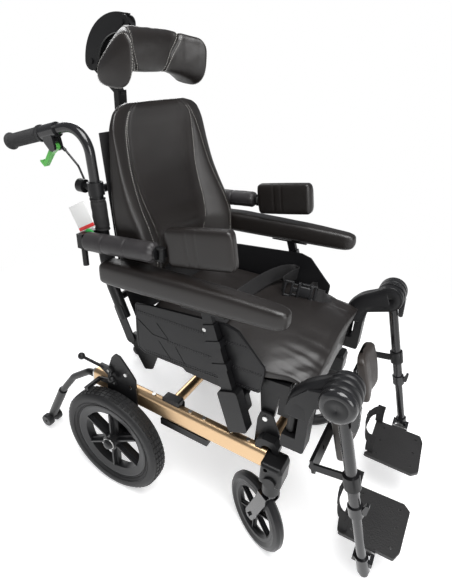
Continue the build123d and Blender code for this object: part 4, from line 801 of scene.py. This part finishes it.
def trunk_point(side):
    """Places the pad's points: its face looks inwards, with two pressed seams."""
    def place(along, across, out, u, v, t):
        y = TRUNK_Y - along * cos(TRUNK_LEAN) - across * sin(TRUNK_LEAN)
        z = TRUNK_Z + along * sin(TRUNK_LEAN) - across * cos(TRUNK_LEAN)
        seam = 1.4 * exp(-((along + 26) / 2) ** 2) + 1.4 * exp(-((along + 4) / 2) ** 2)
        return at(side * (TRUNK_X - out + seam * v), y, z)
    return place


for side, word in SIDES:
    rings = cushion_rings(TRUNK_STATIONS, 60, 96, 5.0, trunk_point(side))
    pad = skin(f"trunk_cover_{word}", rings, vinyl)
    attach(pad, f"trunk_pad_{word}")
    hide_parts(f"trunk_pad_{word}")
    rigid_copy(f"trunk_hinge_{word}", f"trunk_pad_{word}",
               lambda low, high: high.z - low.z < 0.06, black_coat, f"trunk_pad_{word}")

# ------------ calf pads
# Moulded foam pads on steel brackets behind the calves, hollowed down the middle.
# They lean with the hangers, so their place is worked out from the knee joint.
KNEE_Y, KNEE_Z = -561, 546
CALF_X, CALF_DOWN, CALF_BEHIND, CALF_LEAN = 112, 172, 41, radians(16)
CALF_STATIONS = [(0.0, -69, 34, -20, -6), (0.04, -65, 48, -21, 2), (0.15, -52, 57, -21, 8),
                 (0.5, 0, 59, -21, 11), (0.85, 52, 57, -21, 8), (0.96, 65, 48, -21, 2),
                 (1.0, 69, 34, -20, -6)]


def calf_point(side):
    """Places the pad's points on the hanger's lean, its front hollowed for the calf."""
    lean_y, lean_z = sin(CALF_LEAN), cos(CALF_LEAN)
    y0 = KNEE_Y - CALF_DOWN * lean_y + CALF_BEHIND * lean_z
    z0 = KNEE_Z - CALF_DOWN * lean_z - CALF_BEHIND * lean_y

    def place(along, across, out, u, v, t):
        out = out - 9 * (1 - abs(u)) * max(0.0, v)
        return at(side * (CALF_X + across), y0 - out * lean_z + along * lean_y,
                  z0 + out * lean_y + along * lean_z)
    return place


calf_vinyl = vinyl_finish("calf_vinyl", (0.030, 0.024, 0.021), 0.45, 700, 0.3)
for side, word in SIDES:
    pad = skin(f"calf_pad_{word}", cushion_rings(CALF_STATIONS, 44, 72, 4.2, calf_point(side)),
               calf_vinyl)
    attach(pad, f"calf_support_{word}")
    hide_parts(f"calf_support_{word}")
    rigid_copy(f"calf_bracket_{word}", f"calf_support_{word}",
               lambda low, high: high.x - low.x > 0.125, black_coat, f"calf_support_{word}")

# ------------ footplates
# Moulded plates with a pebbled tread: the dimples stand about four millimetres apart.
# Each plate keeps its own solid, screw holes included.
dress(vinyl_finish("footplate_tread", (0.013, 0.0125, 0.0125), 0.5, 240, 1.0), "footplate")

# ------------ webbing
# Flat woven strap laid along a path: its weave runs across, and both edges are bound.
# The lap belt, the heel loops, the back sling and the cane sleeves are made of it.
webbing = finish("black_webbing", (0.016, 0.0155, 0.016), 0.7, 0.0, 200, 0.6, 0.2)
cloth = webbing.node_tree
weave = add_node(cloth, "ShaderNodeTexWave", Scale=260, Distortion=0.6)
weave.bands_direction = "DIAGONAL"
ridges = add_node(cloth, "ShaderNodeBump", Strength=0.7, Distance=0.0004)
wire(cloth, (cloth.nodes["Texture Coordinate"].outputs["Object"], weave.inputs["Vector"]),
     (weave.outputs["Fac"], ridges.inputs["Height"]),
     (ridges.outputs["Normal"], cloth.nodes["Principled BSDF"].inputs["Normal"]))


def smooth_path(stations, steps):
    """Points through stations of (point, across), eased by a Catmull-Rom curve."""
    spots = [(Vector(point), Vector(across).normalized()) for point, across in stations]
    spots = [spots[0]] + spots + [spots[-1]]
    path = []
    for i in range(1, len(spots) - 2):
        for step in range(steps):
            k = step / steps
            pair = []
            for part in (0, 1):
                a, b, c, d = (spots[i + j][part] for j in (-1, 0, 1, 2))
                pair.append(0.5 * (2 * b + (c - a) * k + (2 * a - 5 * b + 4 * c - d) * k * k
                                   + (3 * b - a - 3 * c + d) * k ** 3))
            path.append((pair[0], pair[1].normalized()))
    path.append(spots[-2])
    return path


def strap(name, stations, half, thick, body, node, steps=10, sag=0.0, columns=40):
    """A strap along stations of (middle, across) in millimetres, and its length."""
    path = smooth_path(stations, steps)
    rings = []
    for i, (middle, over) in enumerate(path):
        run = (path[min(i + 1, len(path) - 1)][0] - path[max(i - 1, 0)][0]).normalized()
        over = (over - run * over.dot(run)).normalized()
        out = run.cross(over)
        ring = []
        for u, v in around(columns, 7):
            edge = 0.35 * exp(-((abs(u) - 0.86) / 0.05) ** 2)
            shift = v * (thick / 2 + edge) + sag * (1 - u * u)
            ring.append(at(*(middle + over * (u * half) + out * shift)))
        rings.append(ring)
    piece = skin(name, rings, webbing)
    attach(piece, body)
    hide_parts(node)
    length = sum((b[0] - a[0]).length for a, b in zip(path, path[1:]))
    return piece, length / 1000


# ------------ lap belt
# The near strap rises off the crown, folds over beside the far guard and runs down to a
# side-release buckle that stands on its edge on the cushion.
belt, belt_length = strap("lap_belt_strap", [
    ((-196, -236, 522), (0, 1, 0.1)), ((-150, -238, 548), (0, 1, 0.1)),
    ((-80, -240, 568), (0, 0.8, 0.6)), ((-26, -246, 576), (0, 0.45, 0.9)),
    ((60, -258, 579), (0, 0.3, 0.95)), ((140, -272, 572), (0, 0.3, 0.95)),
    ((192, -284, 560), (0, 0.3, 0.95)), ((205, -296, 556), (0, 0.1, 1)),
    ((192, -306, 558), (0.1, -0.1, 1)), ((140, -306, 570), (0.1, -0.1, 1)),
    ((84, -304, 574), (0.1, 0, 1)), ((60, -316, 575), (0, 0, 1))], 19, 1.6, "seat", "lap_belt", 14)
buckle_at = local_frame((62, -330, 574), (0.3, -0.95, -0.1), (0.1, 0.1, 1))
buckle_tongue = block_set("belt_buckle_tongue", [
    ((-12, 0, 0), (5, 44, 7)), ((6, 0, 0), (6, 44, 9)), ((-3, 19, 0), (22, 6, 8)),
    ((-3, -19, 0), (22, 6, 8)), ((14, 0, 0), (16, 12, 5)), ((14, 14, 0), (14, 5, 5)),
    ((14, -14, 0), (14, 5, 5))], buckle_at, moulded_black, "seat")
buckle_body = block_set("belt_buckle_body", [
    ((40, 0, 0), (34, 28, 12)), ((24, 0, 0), (7, 44, 13)), ((56, 0, 0), (9, 42, 13)),
    ((40, 19.5, 0), (20, 3.5, 9)), ((40, -19.5, 0), (20, 3.5, 9)), ((67, 0, 0), (5, 42, 7)),
    ((62, 18.5, 0), (14, 5, 7)), ((62, -18.5, 0), (14, 5, 7))], buckle_at, moulded_black, "seat")
for piece in (buckle_tongue, buckle_body):
    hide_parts("lap_belt")
tail, tail_length = strap("lap_belt_tail", [
    ((82, -395, 566), (0.1, 0.1, 1)), ((94, -412, 558), (0.3, 0.1, 1)),
    ((130, -416, 545), (0.2, 0.8, 0.6)), ((176, -386, 532), (0.3, 1, 0.2)),
    ((203, -340, 522), (1, 0.5, 0.2))], 19, 1.6, "seat", "lap_belt", 12)

# ------------ heel loops
# Webbing behind each heel, on a folded tab at each rear corner, with a black slider.
# The tables are for the left side; x changes its sign on the right.
HEEL_LOOP = [((202, -622, 184), (0, 0, 1)), ((192, -604, 185), (0.1, 0, 1)),
             ((165, -593, 186), (0.1, 0.1, 1)), ((134, -590, 184), (0, 0.2, 1)),
             ((100, -594, 186), (-0.1, 0.1, 1)), ((76, -604, 185), (0, 0, 1)),
             ((67, -620, 184), (0, 0, 1))]
HEEL_TAB = ((0, -617, 203), (0, -617, 172), (0, -619, 146), (3, -621, 140.5))
SLIDER = [((0, 0, 0), (5, 36, 4)), ((20, 0, 0), (5, 36, 4)),
          ((10, 16, 0), (24, 4, 4)), ((10, -16, 0), (24, 4, 4))]
for side, word in SIDES:
    body, node = f"footplate_{word}", f"heel_strap_{word}"
    loop, loop_length = strap(f"heel_loop_{word}", [((side * x, y, z), over)
                                                    for (x, y, z), over in HEEL_LOOP],
                              15, 1.6, body, node)
    for corner, x in (("outer", 200.5), ("inner", 68.5)):
        tab, tab_length = strap(f"heel_tab_{corner}_{word}", [
            ((side * (x + shift), y, z), (0, 1, 0)) for shift, y, z in HEEL_TAB],
            11, 1.8, body, node)
    block_set(f"heel_slider_{word}", SLIDER, local_frame(
        (side * 160, -591.5, 186), (-side, 0.1, 0), (0.1, 0.1, 1)), moulded_black, body)

# ------------ back sling
# Slack cloth laced between the canes behind the cushion, and a sewn sleeve round each
# cane.  The canes lean back by CANE_LEAN for each millimetre of height.
CANE_X, CANE_SKIN, SLING_HALF = 200, 18, 181
CANE_FOOT_Y, CANE_FOOT_Z, CANE_LEAN = 32, 598, 24 / 244
SLING_LINE = [(-22, 507), (2.6, 566), (16.4, 602), (28, 720), (40, 842), (46, 900), (50, 941)]
SLEEVES = ((640, 693), (734, 804))


def cane_line(z):
    """How far back a cane's middle line lies at a height."""
    return CANE_FOOT_Y + (z - CANE_FOOT_Z) * CANE_LEAN


sling_stations = [((0, cy, cz), (1, 0, 0)) for cy, cz in SLING_LINE]
sling, sling_length = strap("back_sling", sling_stations, SLING_HALF, 2.6, "back",
                            "back_upholstery", 12, sag=3.0, columns=80)
for side, word in SIDES:
    for part, (low, high) in enumerate(SLEEVES):
        rings = []
        for row in range(31):
            z = low + (high - low) * row / 30
            cy = cane_line(z)
            ring = []
            for column in range(40):
                a = 2 * pi * column / 40
                r = CANE_SKIN - 0.5 + 0.9 * ripple(a * 2, z / 14, side * 3.0)
                r -= 1.4 * exp(-((min(row, 30 - row) - 2) / 0.9) ** 2)
                ring.append(at(side * CANE_X + r * cos(a), cy + r * sin(a), z))
            rings.append(ring)
        sleeve = skin(f"cane_sleeve_{word}_{part}", rings, webbing)
        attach(sleeve, "back")
        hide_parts("back_upholstery")

# ------------ knee shrouds
# A smooth moulded shell sweeps from each swing-away post up into the knee, and the drum
# has two parting grooves and a domed cap.
moulded_grey = finish("moulded_grey", (0.0075, 0.0075, 0.0083), 0.40, 0.0, 80, 0.2, 0.15)
dress(moulded_grey, "skirt_guards", "knee_housing")
# (share of the way, y, z, x, half width, half depth)
KNEE_STATIONS = [(0.0, -481.5, 455, 223, 21.5, 28.5), (0.25, -483, 482, 222, 21.5, 28.5),
                 (0.5, -500, 513, 219, 20.5, 27), (0.75, -530, 533, 214, 16.5, 28),
                 (1.0, -561, 547, 210.8, 12.2, 35.5)]
CUP_SECTION = [(198.6, 0.01), (198.8, 22), (200, 29), (203, 33.5), (208, 35.9), (223, 36.3),
               (223, 0.01)]
DRUM_SECTION = [(224.6, 30), (224.6, 36.6), (226, 37.5), (241, 37.5), (241.3, 36.8),
                (242.7, 36.8), (243, 37.5), (262, 37.5), (262.3, 36.8), (263.7, 36.8),
                (264, 37.4), (269, 37.2), (276, 34.0), (281.5, 27), (282.6, 18), (282.9, 0.01),
                (270, 0.01), (270, 30)]
knee_hub = at(0, KNEE_Y, KNEE_Z)
for side, word in SIDES:
    rings = []
    for row in range(49):
        t = row / 48
        y, z, x, half, deep = eased(KNEE_STATIONS, t)
        ahead = eased(KNEE_STATIONS, min(1, t + 0.02))
        behind = eased(KNEE_STATIONS, max(0, t - 0.02))
        run = Vector((0, ahead[0] - behind[0], ahead[1] - behind[1])).normalized()
        out = Vector((0, -run.z, run.y))
        rings.append([at(*(Vector((side * (x + u * half), y, z)) + out * (v * deep)))
                      for u, v in around(56, 3.4)])
    shroud = skin(f"knee_shroud_{word}", rings, moulded_grey)
    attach(shroud, f"legrest_{word}")
    cup = turned(f"knee_cup_{word}", mirrored(CUP_SECTION, side), 64, knee_hub, SIDEWAYS,
                 moulded_grey)
    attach(cup, f"legrest_{word}")
    shell = turned(f"knee_shell_{word}", mirrored(DRUM_SECTION, side), 72, knee_hub, SIDEWAYS,
                   moulded_grey)
    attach(shell, f"hanger_{word}")

# ------------ skirt guards
# A rim round each moulded guard, three rows of short slanted ribs and moulded creases:
# round beads that stand just proud of its outer face, the creases' beads black as painted
# shade.  Rows: (y from, y to, z from, z to).
GUARD_FACE, GUARD_PITCH = 225.4, 6.3
GUARD_ROWS = ((-66, -354, 562, 566.5), (-150, -388, 507, 510), (-84, -380, 456, 467))


def guard_ribs(side):
    """Each rib of the three rows as a short slanted line."""
    ribs = []
    for rear, front, z_rear, z_front in GUARD_ROWS:
        count = int((rear - front) / GUARD_PITCH)
        for i in range(count + 1):
            y = rear + (front - rear) * i / count
            z = z_rear + (z_front - z_rear) * i / count
            ribs.append([at(side * GUARD_FACE, y + 1.6, z - 3.6),
                         at(side * GUARD_FACE, y - 1.6, z + 3.6)])
    return ribs


# The crease lines, laid as black beads: painted shade where the guard is creased.
GUARD_CREASE_SHADE_LINES = [[(-64, 541), (-108, 512), (-150, 512)], [(-120, 548), (-152, 514)],
                 [(-124, 500), (-160, 458)], [(-172, 500), (-198, 462)]]
GUARD_RIM = [(-64, 580), (-100, 588), (-298, 606), (-328, 598), (-394, 532), (-395, 520),
             (-391, 474), (-380, 465), (-80, 451), (-63, 462), (-61, 575), (-64, 580)]


def moulded_bead(name, lines, thick, material, body):
    """Round beads laid along lines, as a mesh."""
    curve = seam_curve(name, lines)
    curve.data.bevel_depth = thick
    curve.data.bevel_resolution = 2
    curve.data.use_fill_caps = True
    piece = settled(name, curve)
    piece.data.materials.clear()
    piece.data.materials.append(material)
    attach(piece, body)


for side, word in SIDES:
    moulded_bead(f"guard_ribs_{word}", guard_ribs(side), 0.0011, moulded_black, "seat")
    # Black beads along the creases: painted shade.
    moulded_bead(f"guard_crease_shade_{word}", [[at(side * GUARD_FACE, y, z) for y, z in line]
                                           for line in GUARD_CREASE_SHADE_LINES], 0.0007, black_coat, "seat")
    moulded_bead(f"guard_rim_{word}", [[at(side * (GUARD_FACE - 0.8), y, z)
                                        for y, z in GUARD_RIM]], 0.0017, moulded_grey, "seat")

# ------------ push handles
# Gloss black bent tubes that slide in the canes, ribbed rubber grips with a flared end,
# and green release levers.  The hanger and lower leg tubes have the same gloss.
tube_gloss = finish("gloss_black_tube", (0.012, 0.012, 0.013), 0.2, 0.0, 20, 0.04, 0.1, coat=0.5)
grip_rubber = finish("grip_rubber", (0.02, 0.02, 0.021), 0.6, 0.0, 160, 0.4, 0.2)
green_plastic = finish("green_plastic", (0.10, 0.42, 0.08), 0.3, 0.0, 30, 0.05, 0.05)
dress(tube_gloss, "push_handle", "hanger", "lower_tube")
dress(green_plastic, "tilt_lever")
GRIP_Y, GRIP_Z, HANDLE_TOP = 310, 896, 963
GRIP_RIBS, RIB_PITCH = 26, 3.9
GRIP_SECTION = [(-4, 11.2), (-4, 19), (-1, 19.8), (3, 16.5)]
for rib in range(GRIP_RIBS):
    along = 4 + rib * RIB_PITCH
    GRIP_SECTION += [(along, 14.6), (along + 0.8, 15.9), (along + 2.4, 15.9), (along + 3.2, 14.6)]
GRIP_SECTION += [(107, 18.6), (112, 18.6), (112, 11.2)]
END_SECTION = [(-4.2, 0.01), (-4.2, 11.4), (-2, 12.0), (2, 12), (2, 0.01)]
handle_run = Vector((0, GRIP_Y - cane_line(HANDLE_TOP), GRIP_Z - HANDLE_TOP)).normalized()
for side, word in SIDES:
    end = at(side * CANE_X, GRIP_Y, GRIP_Z)
    grip = turned(f"grip_{word}", GRIP_SECTION, 40, end, -handle_run, grip_rubber, smooth=False)
    cap = turned(f"grip_end_{word}", END_SECTION, 32, end, -handle_run, grip_rubber)
    for piece in (grip, cap):
        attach(piece, f"push_handle_{word}")
        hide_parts(f"handle_grip_{word}")

# ------------ small fittings
# A silver clamp bolt on each armrest support.  A small card with a red band and a green
# oval hangs from the clamp knob of the right cane.
BOLT_SECTION = [(240, 5.2), (245, 5.2), (246, 4.4), (246.4, 0.01), (240, 0.01)]
for side, word in SIDES:
    bolt = turned(f"armrest_bolt_{word}", mirrored(BOLT_SECTION, side), 24, at(0, -260, 591),
                  SIDEWAYS, zinc)
    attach(bolt, "seat")
card = finish("card", (0.72, 0.72, 0.71), 0.6, 0.0, 60, 0.1, 0.02)
card_red = finish("card_red", (0.62, 0.03, 0.03), 0.6, 0.0, 60, 0.1, 0.02)
tag_green = finish("tag_green", (0.03, 0.33, 0.07), 0.4, 0.0, 60, 0.1, 0.02)
tag_at = local_frame((-226, 80, 762), (0, -0.47, -0.88), (0, -0.88, 0.47))
block_set("tag_card", [((0, 0, 0), (62, 54, 0.8))], tag_at, card, "back")
block_set("tag_stripe", [((24, 0, 0), (8, 54, 1.1))], tag_at, card_red, "back")
oval = turned("tag_oval", [(-1, 0.01), (-1, 13), (1, 13), (1, 0.01)], 32,
              at(-226, 60, 726), Vector((1, 0.1, 0.1)), tag_green)
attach(oval, "back")

# ------------ hand over
# Plain colours: the Standard view transform.
view = bpy.context.scene.view_settings
view.view_transform = "Standard"
